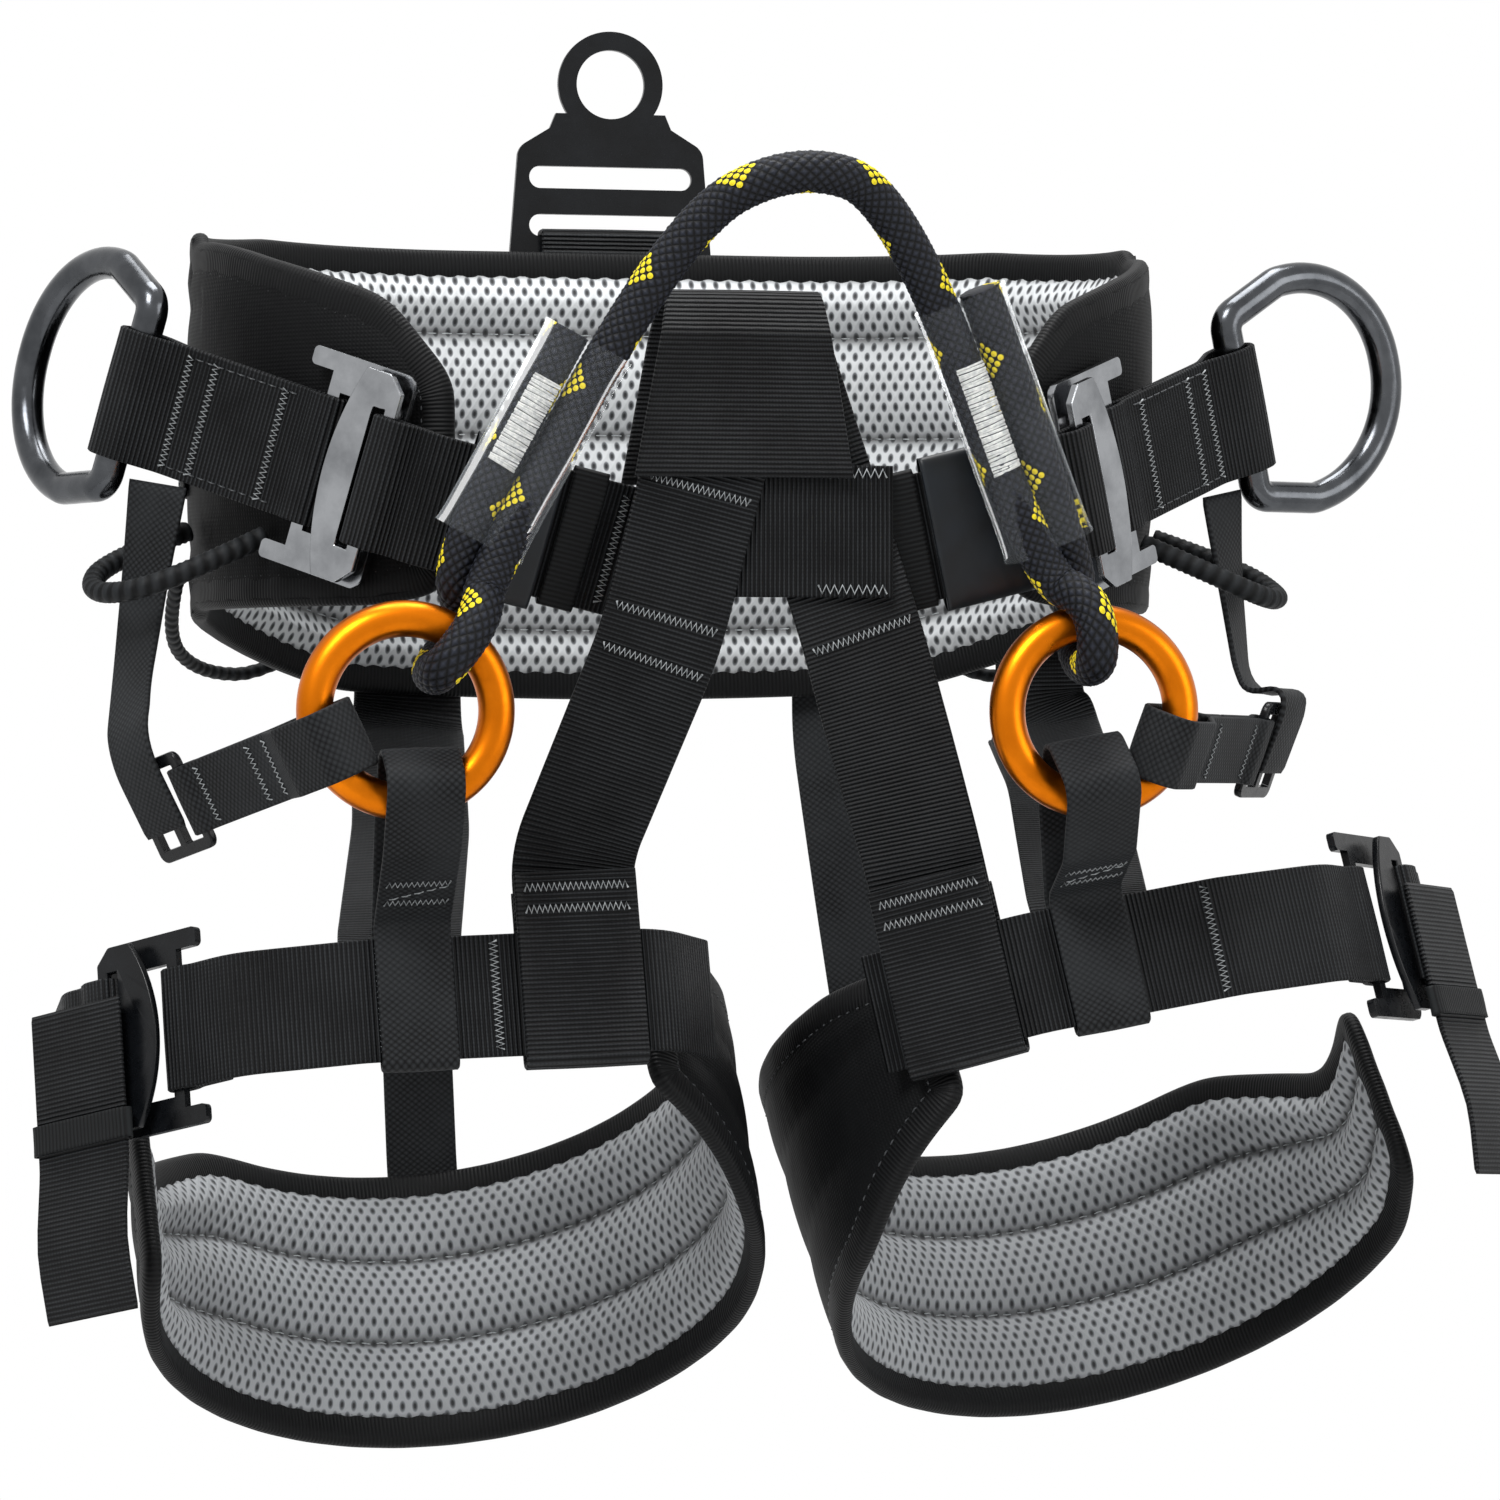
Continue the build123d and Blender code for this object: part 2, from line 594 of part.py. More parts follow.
for tag, side in sides():
    band_plane = leg_plane(side, band_tilt)
    pad_plane = leg_plane(side, leg_tilt)
    centre = pad_plane.from_local_coords((0, leg_r, 0)) - Vector(0, 0, pad_drop[side])
    pad_plane = Plane(origin=centre, x_dir=pad_plane.x_dir, z_dir=pad_plane.z_dir)
    outline = leg_pad_outline(pad_plane, -side)
    leg_layer(f"leg_pad_{tag}", pad_plane, leg_r, leg_foam_t, outline)
    leg_layer(f"leg_pad_lining_{tag}", pad_plane, leg_r - leg_foam_t, leg_lining_t, outline)

    # buckle at the outer end of the band
    turn = radians(leg_buckle_turn)
    run = band_plane.x_dir * side * cos(turn) + band_plane.y_dir * sin(turn)
    outward = band_plane.x_dir * side * sin(turn) - band_plane.y_dir * cos(turn)
    bar = band_plane.from_local_coords((side * leg_buckle_at[0], leg_buckle_at[1], 0))
    buckle = strap_plane(bar, run, outward)
    buckle_frame(f"leg_buckle_frame_{tag}", buckle, frame_l, leg_frame_half, leg_window)
    tongue = shifted(buckle, tongue_bar_x, tongue_lift)
    buckle_tongue(f"leg_buckle_tongue_{tag}", tongue, leg_tongue_half, leg_window, 7)
    bar_path = [
        seen_from(band_plane, buckle, x, y) for x, y in (
            (-9, layer), (-5, frame_fold), (bar_fold, frame_fold),
            (bar_fold, -frame_fold), (-5, -frame_fold), (-9, -layer), (-24, -layer),
        )
    ]
    webbing(
        f"leg_band_{tag}", band_plane,
        [
            (-side * band_end[0], band_end[1]), (-side * band_knee[side], -2), (side * 40, -2),
            seen_from(band_plane, buckle, -30, layer),
        ] + bar_path,
        strap_w, largest=30.0,
    )
    # webbing from the tongue back to the outer end of the pad
    webbing(
        f"leg_side_webbing_{tag}", tongue,
        [
            (12, -tongue_fold), (slot_x, -tongue_fold), (slot_x, tongue_fold), (7, tongue_fold),
            (12, belt_y), (22, belt_y),
            (22 + 48 * cos(radians(40)), belt_y - 48 * sin(radians(40))),
        ],
        strap_w, largest=20.0,
    )
    # free end of the leg webbing, hanging outside the buckle in an elastic keeper
    tail = strap_plane(
        tongue.from_local_coords((9, tongue_fold + web_t + gap, 0)), -band_plane.z_dir, outward)
    webbing(
        f"leg_tail_{tag}", tail, [(-14, 0), (44, 0), (74, 4), (100, 0)], strap_w, largest=60.0)
    leg_keepers.append(tube(tail, 27, 38, strap_w, web_t, 49, 6).part)

    # yoke strap and the foot that takes it round the leg band
    inner, outer = foot_span[side]
    inner = band_plane.from_local_coords((-side * inner[0], inner[1], 0))
    outer = band_plane.from_local_coords((-side * outer[0], outer[1], 0))
    foot_out = (outer - inner).cross(band_plane.z_dir) * side
    foot = strap_plane((inner + outer) * 0.5, -band_plane.z_dir, foot_out)
    top_x, top_z = yoke_top[side]
    low = foot.from_local_coords((-26, 0, 0))
    yoke = facing_front(top_x, yoke_y[side], top_z, degrees(atan2(low.X - top_x, top_z - low.Z)))
    strip(
        f"yoke_strap_{tag}",
        [(yoke.from_local_coords((x, 0, 0)), yoke.z_dir) for x in (0, 104)]
        + [(foot.from_local_coords((x, 0, 0)), foot.z_dir) for x in (-50, -28)],
        strap_w,
    )
    webbing(
        f"yoke_foot_{tag}", foot,
        [
            (-38, -foot_half), (strap_w / 2 + foot_half, -foot_half),
            (strap_w / 2 + foot_half, foot_half), (-44, foot_half),
        ],
        strap_w, largest=3.0,
    )

    # bridge ring
    ring_at = Vector(side * ring_x, ring_y, ring_z)
    with BuildPart() as bridge_ring:
        with BuildSketch(Plane(origin=ring_at, x_dir=(1, 0, 0), z_dir=(0, 0, 1))):
            with Locations((ring_major, 0)):
                Circle(ring_minor)
        revolve(axis=Axis(ring_at, (0, 1, 0)))
    finish(bridge_ring, f"bridge_ring_{tag}")

    # short strap from the ring down to the band
    tube_at = ring_point(side, ring_leg_angle[side])
    level = band_plane.to_local_coords(tube_at)
    short = strap_plane(band_plane.from_local_coords((level.X, -2, 0)), -band_plane.z_dir,
                        -band_plane.y_dir)
    to_tube = strap_plane(tube_at, short.from_local_coords((-26, 0, 0)) - tube_at,
                          -band_plane.y_dir)
    webbing(
        f"ring_leg_strap_{tag}", short,
        [
            (14, -wrap_half), (-26, -wrap_half), seen_from(short, to_tube, 14, -hung_half[side]),
            seen_from(short, to_tube, -hung_reach[side], -hung_half[side]),
            seen_from(short, to_tube, -hung_reach[side], hung_half[side]),
            seen_from(short, to_tube, 14, hung_half[side]), (-26, wrap_half),
            (strap_w / 2 + wrap_half, wrap_half), (strap_w / 2 + wrap_half, -wrap_half),
            (14 + gap, -wrap_half),
        ],
        light_w, largest=8.0,
    )

    # strap from the ring back to a slide buckle at the hip
    start = ring_point(side, ring_side_angle)
    tangent = ring_point(side, ring_side_angle - 90) - ring_at
    slide_run = Vector(*slide_at[side]) - start
    side_plane = strap_plane(start, slide_run, tangent.cross(slide_run) * -side)
    looped_strap(f"ring_side_strap_{tag}", side_plane, slide_run.length - (slide_l - slide_rail) / 2, 26,
                 slide_fold, slide_reach)
    slide = shifted(side_plane, slide_run.length)
    with BuildPart() as slide_buckle:
        with BuildSketch(Plane(origin=slide.origin, x_dir=slide.x_dir, z_dir=slide.y_dir)):
            RectangleRounded(slide_l, slide_w, 4)
            for end in (-1, 1):
                with Locations((end * (slide_l - slide_rail) / 4, 0)):
                    Rectangle(slide_l / 2 - 1.5 * slide_rail, 29, mode=Mode.SUBTRACT)
        extrude(amount=slide_t / 2, both=True)
    finish(slide_buckle, f"slide_buckle_{tag}")

    # drop strap from the side webbing down onto the slide buckle
    hip = side_frame(side)
    strip(
        f"drop_strap_{tag}",
        [
            (hip.from_local_coords((drop_from, 0, -side * (belt_w / 2 + 3.6))), hip.x_dir),
            (Vector(side * (dee_bar_x - 6), dee_bar_y - 4.5, -42), (-side * 0.6, -0.8, 0)),
            (Vector(side * dee_bar_x, dee_bar_y - 4.5, -88), (-side * 0.42, -0.9, 0)),
            (slide.from_local_coords((3.5, drop_out + 1, -side * 26)), -slide.x_dir),
            (slide.from_local_coords((3.5, drop_out, side * 8)), -slide.x_dir),
        ],
        25,
    )

    # risers from the back of the waist pad to the band and to the leg pad
    turn = radians(riser_at[side])
    round_pad = Vector(-side * sin(turn), cos(turn), 0)
    strip(
        f"wide_riser_{tag}",
        [
            (pad_point(side, riser_at[side], riser_out[side], -22), round_pad),
            (pad_point(side, riser_at[side], riser_out[side], -98), round_pad),
            (wide_mid[side], (-side, 0, 0)),
            (band_plane.from_local_coords((riser_foot[side], riser_foot_y + 9, 24)),
             -side * band_plane.x_dir),
            (band_plane.from_local_coords((riser_foot[side], riser_foot_y, 8)),
             -side * band_plane.x_dir),
            (band_plane.from_local_coords((riser_foot[side], riser_foot_y, -15)),
             -side * band_plane.x_dir),
        ],
        strap_w,
    )
    sweep_in = radians(narrow_at[side])
    seat = leg_r + web_t / 2 + 2 * gap
    lie = pad_plane.x_dir * cos(sweep_in) - pad_plane.y_dir * sin(sweep_in)
    turn = radians(narrow_top[side])
    round_pad = Vector(-side * sin(turn), cos(turn), 0)
    strip(
        f"narrow_riser_{tag}",
        [
            (pad_point(side, narrow_top[side], narrow_out[side], -46), round_pad),
            (pad_point(side, narrow_top[side], narrow_out[side], -104), round_pad),
        ] + [
            (pad_plane.from_local_coords((seat * sin(sweep_in), seat * cos(sweep_in), z)),
             -side * lie)
            for z in (60, 24)
        ],
        light_w,
    )

    # gear loops
    front_gear_loop = cord_tube(
        f"front_gear_loop_{tag}",
        [
            pad_point(side, -34, 2.2, -32),
            (side * (dee_bar_x - 21), dee_bar_y - 34.5, -44),
            (side * (dee_bar_x + 3), dee_bar_y - 26.5, -53),
            (side * (dee_bar_x + 16), dee_bar_y - 2.5, -52),
            (side * (dee_bar_x + 7), dee_bar_y + 21.5, -40),
            pad_point(side, -5.5, 2.3, -28),
        ],
        8,
    )
    finish(front_gear_loop, f"front_gear_loop_{tag}")
    rear_gear_loop = cord_tube(
        f"rear_gear_loop_{tag}",
        [
            pad_point(side, 5, 3.1, -44), pad_point(side, 22, 14, -66), pad_point(side, 40, 19, -80),
            pad_point(side, 55, 14, -80), pad_point(side, 66, 3.1, -60),
        ],
        5.5,
    )
    rear_loops.append(rear_gear_loop.part)

share_node(leg_keepers, "leg_tail_keepers")
share_node(rear_loops, "rear_gear_loops")

# ---------------------------------------------------------------- rope bridge
# One rope, doubled on each side: in through a ring and back up inside the same sleeve.
rope_turn = rope_d / 2 + ring_minor + 2 * gap
pair_half = rope_d / 2 + gap
route = {}
for tag, side in sides():
    top = Vector(*sleeve_top[side])
    bottom = Vector(*sleeve_bottom[side])
    down = (bottom - top).normalized()
    apart = Vector(-down.Z, 0, down.X).normalized() * side
    with BuildPart() as sleeve:
        with BuildSketch(Plane(origin=top, x_dir=apart, z_dir=down)):
            inner_w = 4 * pair_half
            inner_h = rope_d + 2 * gap
            SlotOverall(inner_w + 2 * sleeve_t, inner_h + 2 * sleeve_t)
            SlotOverall(inner_w, inner_h, mode=Mode.SUBTRACT)
        extrude(amount=(bottom - top).length)
    finish(sleeve, f"rope_sleeve_{tag}")
    angle = ring_rope_angle[side]
    route[side] = [
        top + apart * pair_half,
        bottom + apart * pair_half + down * 9.5,
        ring_point(side, angle, rope_turn, 8),
        ring_point(side, angle, rope_turn, -rope_turn - 1.2),
        ring_point(side, angle, -rope_turn, -rope_turn - 1.2),
        ring_point(side, angle, -rope_turn, 8),
        bottom - apart * pair_half + down * 9.5,
        top - apart * pair_half - down * rope_rise[side],
    ]
bridge_rope = cord_tube(
    "bridge_rope", route[-1] + [Vector(*rope_apex)] + route[1][::-1], rope_d, (2, 3, 11, 12))
finish(bridge_rope, "bridge_rope")
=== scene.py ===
import json
import math

import bmesh
import bpy
from mathutils import Matrix, Vector

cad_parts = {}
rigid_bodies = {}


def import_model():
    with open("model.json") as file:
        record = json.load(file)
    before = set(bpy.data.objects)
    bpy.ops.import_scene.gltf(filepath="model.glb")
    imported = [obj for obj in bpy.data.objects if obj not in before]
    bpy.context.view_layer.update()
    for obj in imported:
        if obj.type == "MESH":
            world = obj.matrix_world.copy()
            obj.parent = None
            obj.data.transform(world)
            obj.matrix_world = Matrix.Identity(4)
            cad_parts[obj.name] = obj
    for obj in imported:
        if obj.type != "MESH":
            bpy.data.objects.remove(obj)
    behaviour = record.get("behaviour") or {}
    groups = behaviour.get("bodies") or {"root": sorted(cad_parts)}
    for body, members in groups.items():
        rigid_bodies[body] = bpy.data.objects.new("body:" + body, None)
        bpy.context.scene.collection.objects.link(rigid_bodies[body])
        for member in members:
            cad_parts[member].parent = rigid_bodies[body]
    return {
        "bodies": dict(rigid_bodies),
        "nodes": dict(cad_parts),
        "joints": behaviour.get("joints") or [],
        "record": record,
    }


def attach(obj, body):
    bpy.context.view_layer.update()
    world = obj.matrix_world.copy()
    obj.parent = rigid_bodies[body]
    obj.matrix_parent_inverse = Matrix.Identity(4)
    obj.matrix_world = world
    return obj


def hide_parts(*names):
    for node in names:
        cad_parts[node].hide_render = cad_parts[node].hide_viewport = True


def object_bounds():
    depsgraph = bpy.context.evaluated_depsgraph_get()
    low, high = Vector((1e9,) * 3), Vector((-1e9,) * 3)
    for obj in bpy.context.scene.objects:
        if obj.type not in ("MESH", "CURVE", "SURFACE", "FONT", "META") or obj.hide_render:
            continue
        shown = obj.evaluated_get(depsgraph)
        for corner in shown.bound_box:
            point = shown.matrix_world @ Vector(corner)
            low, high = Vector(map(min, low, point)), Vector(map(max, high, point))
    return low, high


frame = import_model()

bl_info = {
    "name": "Tree Climbing Saddle",
    "version": (1, 0, 0),
    "blender": (4, 5, 0),
    "location": "View3D > Sidebar > Saddle",
    "description": "Builds the webbing, pads, rope bridge and metalwork of a tree climbing saddle",
    "category": "Object",
}

CAD_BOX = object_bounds()
MM = 0.001
# left and right as seen from the front, as a name's ending and a sign on x
SIDES = (("l", -1), ("r", 1))
# rope sheath: yarns each way round it, and their distance along it in millimetres
YARNS = 12.0
YARN_PITCH = 3.8
_materials = {}


# ---------------------------------------------------------------- user settings
class SaddleColours(bpy.types.PropertyGroup):
    """Dyes, coatings and finishes, as sRGB hex."""

    webbing: bpy.props.StringProperty(
        name="Webbing", description="Body colour of the ribbed nylon webbing", default="060607")
    # painted highlight: the lighter colour painted on the tops of the ribs
    webbing_rib_highlight: bpy.props.StringProperty(
        name="Webbing ribs", description="Colour on the tops of the ribs", default="2B2D2F")
    thread: bpy.props.StringProperty(
        name="Tack thread", description="Polyester thread of the bar tacks", default="B4B8BA")
    mesh_waist: bpy.props.StringProperty(
        name="Waist mesh", description="Air mesh lining of the waist pad", default="D3D6D8")
    mesh_leg: bpy.props.StringProperty(
        name="Leg mesh", description="Air mesh lining of the leg pads", default="A6A9AC")
    cover: bpy.props.StringProperty(
        name="Pad cover", description="Woven nylon on the outside of the pads", default="060607")
    binding: bpy.props.StringProperty(
        name="Binding", description="Tape sewn round the pad edges", default="060607")
    ring: bpy.props.StringProperty(
        name="Bridge rings", description="Anodised aluminium of the bridge rings", default="D6730E")
    rope: bpy.props.StringProperty(
        name="Rope", description="Sheath colour of the bridge rope", default="0D0E13")
    tracer: bpy.props.StringProperty(
        name="Rope tracer", description="Marker yarn in the rope sheath", default="E6D22A")
    sleeve: bpy.props.StringProperty(
        name="Belt sleeve", description="Smooth coated sleeve over the waist belts", default="07090C")


class SaddleSizes(bpy.types.PropertyGroup):
    """Real sizes of the textile details."""

    rib_pitch: bpy.props.FloatProperty(
        name="Rib pitch", description="Distance between cross ribs of the webbing",
        default=0.0017, unit="LENGTH")
    mesh_pitch: bpy.props.FloatProperty(
        name="Mesh pitch", description="Distance between the holes of the air mesh",
        default=0.0036, unit="LENGTH")
    binding: bpy.props.FloatProperty(
        name="Binding width", description="Visible width of the binding tape",
        default=0.0145, unit="LENGTH")


def colours():
    """The scene's colour settings."""
    return bpy.context.scene.saddle_colours


def sizes():
    """The scene's size settings."""
    return bpy.context.scene.saddle_sizes


def linear(hex_code):
    """Linear RGBA from an sRGB hex code."""
    channels = [int(hex_code[i:i + 2], 16) / 255 for i in (0, 2, 4)]
    return [c / 12.92 if c <= 0.04045 else ((c + 0.055) / 1.055) ** 2.4 for c in channels] + [1.0]


# ---------------------------------------------------------------- node helper
def add(tree, kind, links=None, stops=(), **settings):
    """One node with its settings, input defaults by socket name or number, and links.

    The stops of a colour ramp are pairs of place and colour.
    """
    node = tree.nodes.new(kind)
    for key, value in settings.items():
        if hasattr(node, key):
            setattr(node, key, value)
        else:
            node.inputs[key.replace("_", " ")].default_value = value
    for key, value in (links or {}).items():
        socket = node.inputs[key]
        if isinstance(value, bpy.types.NodeSocket):
            tree.links.new(value, socket)
        else:
            socket.default_value = value
    if stops:
        band = node.color_ramp.elements
        while len(band) < len(stops):
            band.new(0.5)
        for element, (place, colour) in zip(band, stops):
            element.position = place
            element.color = colour
    return node


def material(name):
    """A new material with an empty tree."""
    made = bpy.data.materials.new(name)
    made.use_nodes = True
    made.node_tree.nodes.clear()
    return made, made.node_tree


def finished(made, shader):
    """The material once its last shader is linked to its output."""
    add(made.node_tree, "ShaderNodeOutputMaterial", {"Surface": shader.outputs[0]})
    return made


def band_scale(pitch):
    """Scale that gives Blender's wave texture one band per pitch, in metres."""
    return math.pi / 10 / pitch


# ---------------------------------------------------------------- materials
def ribbed_nylon():
    """Nylon webbing, shuttle woven: matt black with cross ribs, the tops of the ribs painted a little
    lighter as a painted highlight, in dusty patches.
    """
    made, tree = material("ribbed_nylon_webbing")
    uv = add(tree, "ShaderNodeUVMap")
    pitch = sizes().rib_pitch
    rib = add(tree, "ShaderNodeTexWave", {"Vector": uv.outputs["UV"]}, wave_type="BANDS",
              bands_direction="X", Scale=band_scale(pitch), Distortion=0.25, Detail=1.0)
    # warp yarns are finer than the ribs, drawn at 1.5 mm so that they show
    warp = add(tree, "ShaderNodeTexWave", {"Vector": uv.outputs["UV"]}, wave_type="BANDS",
               bands_direction="Y", Scale=band_scale(0.0015), Distortion=0.2)
    yarn = add(tree, "ShaderNodeMapRange", {"Value": warp.outputs["Fac"]}, To_Min=0.72, To_Max=1.0)
    weave = add(tree, "ShaderNodeMath", {0: rib.outputs["Fac"], 1: yarn.outputs[0]},
                operation="MULTIPLY")
    coord = add(tree, "ShaderNodeTexCoord")
    dust_and_sheen = add(tree, "ShaderNodeTexNoise", {"Vector": coord.outputs["Object"]}, Scale=38.0,
               Detail=4.0, Roughness=0.6)
    # painted highlight: rib tops and warp yarns are painted lighter, in the patches of the noise
    # above, which also stands for dustiness
    lift = add(tree, "ShaderNodeMath", {0: weave.outputs[0], 1: dust_and_sheen.outputs["Fac"]},
               operation="MULTIPLY")
    tone = add(tree, "ShaderNodeValToRGB", {"Fac": lift.outputs[0]}, stops=[
        (0.08, linear(colours().webbing)), (0.5, linear(colours().webbing_rib_highlight))])
    height = add(tree, "ShaderNodeMath", {0: rib.outputs["Fac"], 1: weave.outputs[0]},
                 operation="ADD")
    bump = add(tree, "ShaderNodeBump", {"Height": height.outputs[0]}, Strength=0.9, Distance=0.0005)
    shader = add(tree, "ShaderNodeBsdfPrincipled",
                 {"Base Color": tone.outputs["Color"], "Normal": bump.outputs["Normal"]},
                 Specular_IOR_Level=0.13, Roughness=0.5)
    return finished(made, shader)


def plain_nylon():
    """Light nylon webbing, plain woven: black, with small checks of warp and weft."""
    made, tree = material("plain_nylon_webbing")
    uv = add(tree, "ShaderNodeUVMap")
    # the real yarns are finer, drawn 1.7 mm apart so that the checks show
    checks = add(tree, "ShaderNodeTexVoronoi", {
        "Vector": add(tree, "ShaderNodeMapping", {
            "Vector": uv.outputs["UV"], "Rotation": (0, 0, math.radians(45)),
            "Scale": (1.0, 0.8, 1.0)}).outputs[0]},
        feature="F1", Scale=1 / 0.0017, Randomness=0.0)
    coord = add(tree, "ShaderNodeTexCoord")
    wear = add(tree, "ShaderNodeTexNoise", {"Vector": coord.outputs["Object"]}, Scale=30.0,
               Detail=5.0)
    shade = add(tree, "ShaderNodeMath", {0: checks.outputs["Distance"], 1: wear.outputs["Fac"]},
                operation="MULTIPLY")
    # painted highlight: the raised middle of each check is painted lighter, more where the wear noise
    # is low
    tone = add(tree, "ShaderNodeValToRGB", {"Fac": shade.outputs[0]}, stops=[
        (0.02, linear("2C2E30")), (0.34, linear("070708"))])
    bump = add(tree, "ShaderNodeBump", {"Height": checks.outputs["Distance"]}, invert=True,
               Strength=0.7, Distance=0.0004)
    shader = add(tree, "ShaderNodeBsdfPrincipled",
                 {"Base Color": tone.outputs["Color"], "Normal": bump.outputs["Normal"]},
                 Specular_IOR_Level=0.12, Roughness=0.6)
    return finished(made, shader)


def air_mesh(name, hex_code):
    """Knitted polyester spacer mesh: pale yarn round dark oval holes in staggered rows."""
    made, tree = material(name)
    uv = add(tree, "ShaderNodeUVMap")
    place = add(tree, "ShaderNodeMapping", {"Vector": uv.outputs["UV"]},
                Rotation=(0, 0, math.radians(45)), Scale=(1.0, 0.62, 1.0))
    holes = add(tree, "ShaderNodeTexVoronoi", {"Vector": place.outputs[0]}, feature="F1",
                Scale=1 / sizes().mesh_pitch, Randomness=0.0)
    coord = add(tree, "ShaderNodeTexCoord")
    cloud = add(tree, "ShaderNodeTexNoise", {"Vector": coord.outputs["Object"]}, Scale=14.0,
                Detail=5.0, Roughness=0.65)
    yarn = add(tree, "ShaderNodeValToRGB", {"Fac": holes.outputs["Distance"]}, stops=[
        (0.12, linear("1C1D1F")), (0.27, linear("6C6F73")), (0.38, linear(hex_code))])
    # patches of lighter and darker yarn: painted sheen, also soil
    soil_and_sheen = add(tree, "ShaderNodeMapRange", {"Value": cloud.outputs["Fac"]}, From_Min=0.3,
               From_Max=0.75, To_Min=0.80, To_Max=1.06)
    # painted shade: the knit is pulled into a groove where it is sewn down, and is painted darker
    # there and along the bound edge, where shade falls
    sewn = add(tree, "ShaderNodeAttribute", attribute_name="crease_and_painted_shade")
    shade = add(tree, "ShaderNodeMapRange", {"Value": sewn.outputs["Fac"]}, From_Min=0.15,
                From_Max=0.95, To_Min=1.0, To_Max=0.22)
    both = add(tree, "ShaderNodeMath", {0: soil_and_sheen.outputs[0], 1: shade.outputs[0]},
               operation="MULTIPLY")
    tone = add(tree, "ShaderNodeVectorMath",
               {0: yarn.outputs["Color"], "Scale": both.outputs[0]}, operation="SCALE")
    bump = add(tree, "ShaderNodeBump", {"Height": holes.outputs["Distance"]}, Strength=0.8,
               Distance=0.0008)
    shader = add(tree, "ShaderNodeBsdfPrincipled",
                 {"Base Color": tone.outputs[0], "Normal": bump.outputs["Normal"]},
                 Sheen_Weight=0.15, Roughness=0.75)
    return finished(made, shader)


def cover_cloth():
    """Woven nylon pack cloth: black, fine even weave with a dull sheen and soft creases."""
    made, tree = material("woven_nylon_cover")
    coord = add(tree, "ShaderNodeTexCoord")
    uv = add(tree, "ShaderNodeUVMap")
    # 500 denier yarns sit about 0.5 mm apart, drawn at 1.5 mm so that they show
    weft = add(tree, "ShaderNodeTexWave", {"Vector": uv.outputs["UV"]}, wave_type="BANDS",
               bands_direction="X", Scale=band_scale(0.0015))
    warp = add(tree, "ShaderNodeTexWave", {"Vector": uv.outputs["UV"]}, wave_type="BANDS",
               bands_direction="Y", Scale=band_scale(0.0015))
    weave = add(tree, "ShaderNodeMath", {0: weft.outputs["Fac"], 1: warp.outputs["Fac"]},
                operation="MULTIPLY")
    crease_and_painted_shade = add(tree, "ShaderNodeTexNoise", {"Vector": coord.outputs["Object"]}, Scale=16.0,
                 Detail=6.0, Roughness=0.55, Distortion=0.4)
    # painted shade: the cloth is a shade lighter on the crests of the creases and darker in their
    # hollows
    tone = add(tree, "ShaderNodeValToRGB", {"Fac": crease_and_painted_shade.outputs["Fac"]}, stops=[
        (0.3, linear(colours().cover)), (0.75, linear("101112"))])
    fine = add(tree, "ShaderNodeBump", {"Height": weave.outputs[0]}, Strength=0.5, Distance=0.0003)
    bump = add(tree, "ShaderNodeBump",
               {"Height": crease_and_painted_shade.outputs["Fac"], "Normal": fine.outputs["Normal"]},
               Strength=0.55, Distance=0.003)
    shader = add(tree, "ShaderNodeBsdfPrincipled",
                 {"Base Color": tone.outputs["Color"], "Normal": bump.outputs["Normal"]},
                 Specular_IOR_Level=0.09, Roughness=0.6)
    return finished(made, shader)


def grosgrain():
    """Grosgrain binding tape: black with fine cross ribs that catch a thin highlight."""
    made, tree = material("grosgrain_binding")
    uv = add(tree, "ShaderNodeUVMap")
    rib = add(tree, "ShaderNodeTexWave", {"Vector": uv.outputs["UV"]}, wave_type="BANDS",
              bands_direction="X", Scale=band_scale(0.0016))
    tone = add(tree, "ShaderNodeValToRGB", {"Fac": rib.outputs["Fac"]}, stops=[
        (0.1, linear(colours().binding)), (0.95, linear("111213"))])
    bump = add(tree, "ShaderNodeBump", {"Height": rib.outputs["Fac"]}, Strength=0.6,
               Distance=0.0003)
    shader = add(tree, "ShaderNodeBsdfPrincipled",
                 {"Base Color": tone.outputs["Color"], "Normal": bump.outputs["Normal"]},
                 Specular_IOR_Level=0.12, Roughness=0.55)
    return finished(made, shader)


def elastic():
    """Knitted elastic: black with fine ribs along it and a slight sheen."""
    made, tree = material("knitted_elastic")
    uv = add(tree, "ShaderNodeUVMap")
    rib = add(tree, "ShaderNodeTexWave", {"Vector": uv.outputs["UV"]}, wave_type="BANDS",
              bands_direction="Y", Scale=band_scale(0.0018))
    tone = add(tree, "ShaderNodeValToRGB", {"Fac": rib.outputs["Fac"]}, stops=[
        (0.1, linear("09090A")), (0.9, linear("1A1C1D"))])
    bump = add(tree, "ShaderNodeBump", {"Height": rib.outputs["Fac"]}, Strength=0.6,
               Distance=0.0004)
    shader = add(tree, "ShaderNodeBsdfPrincipled",
                 {"Base Color": tone.outputs["Color"], "Normal": bump.outputs["Normal"]},
                 Specular_IOR_Level=0.12, Roughness=0.6)
    return finished(made, shader)


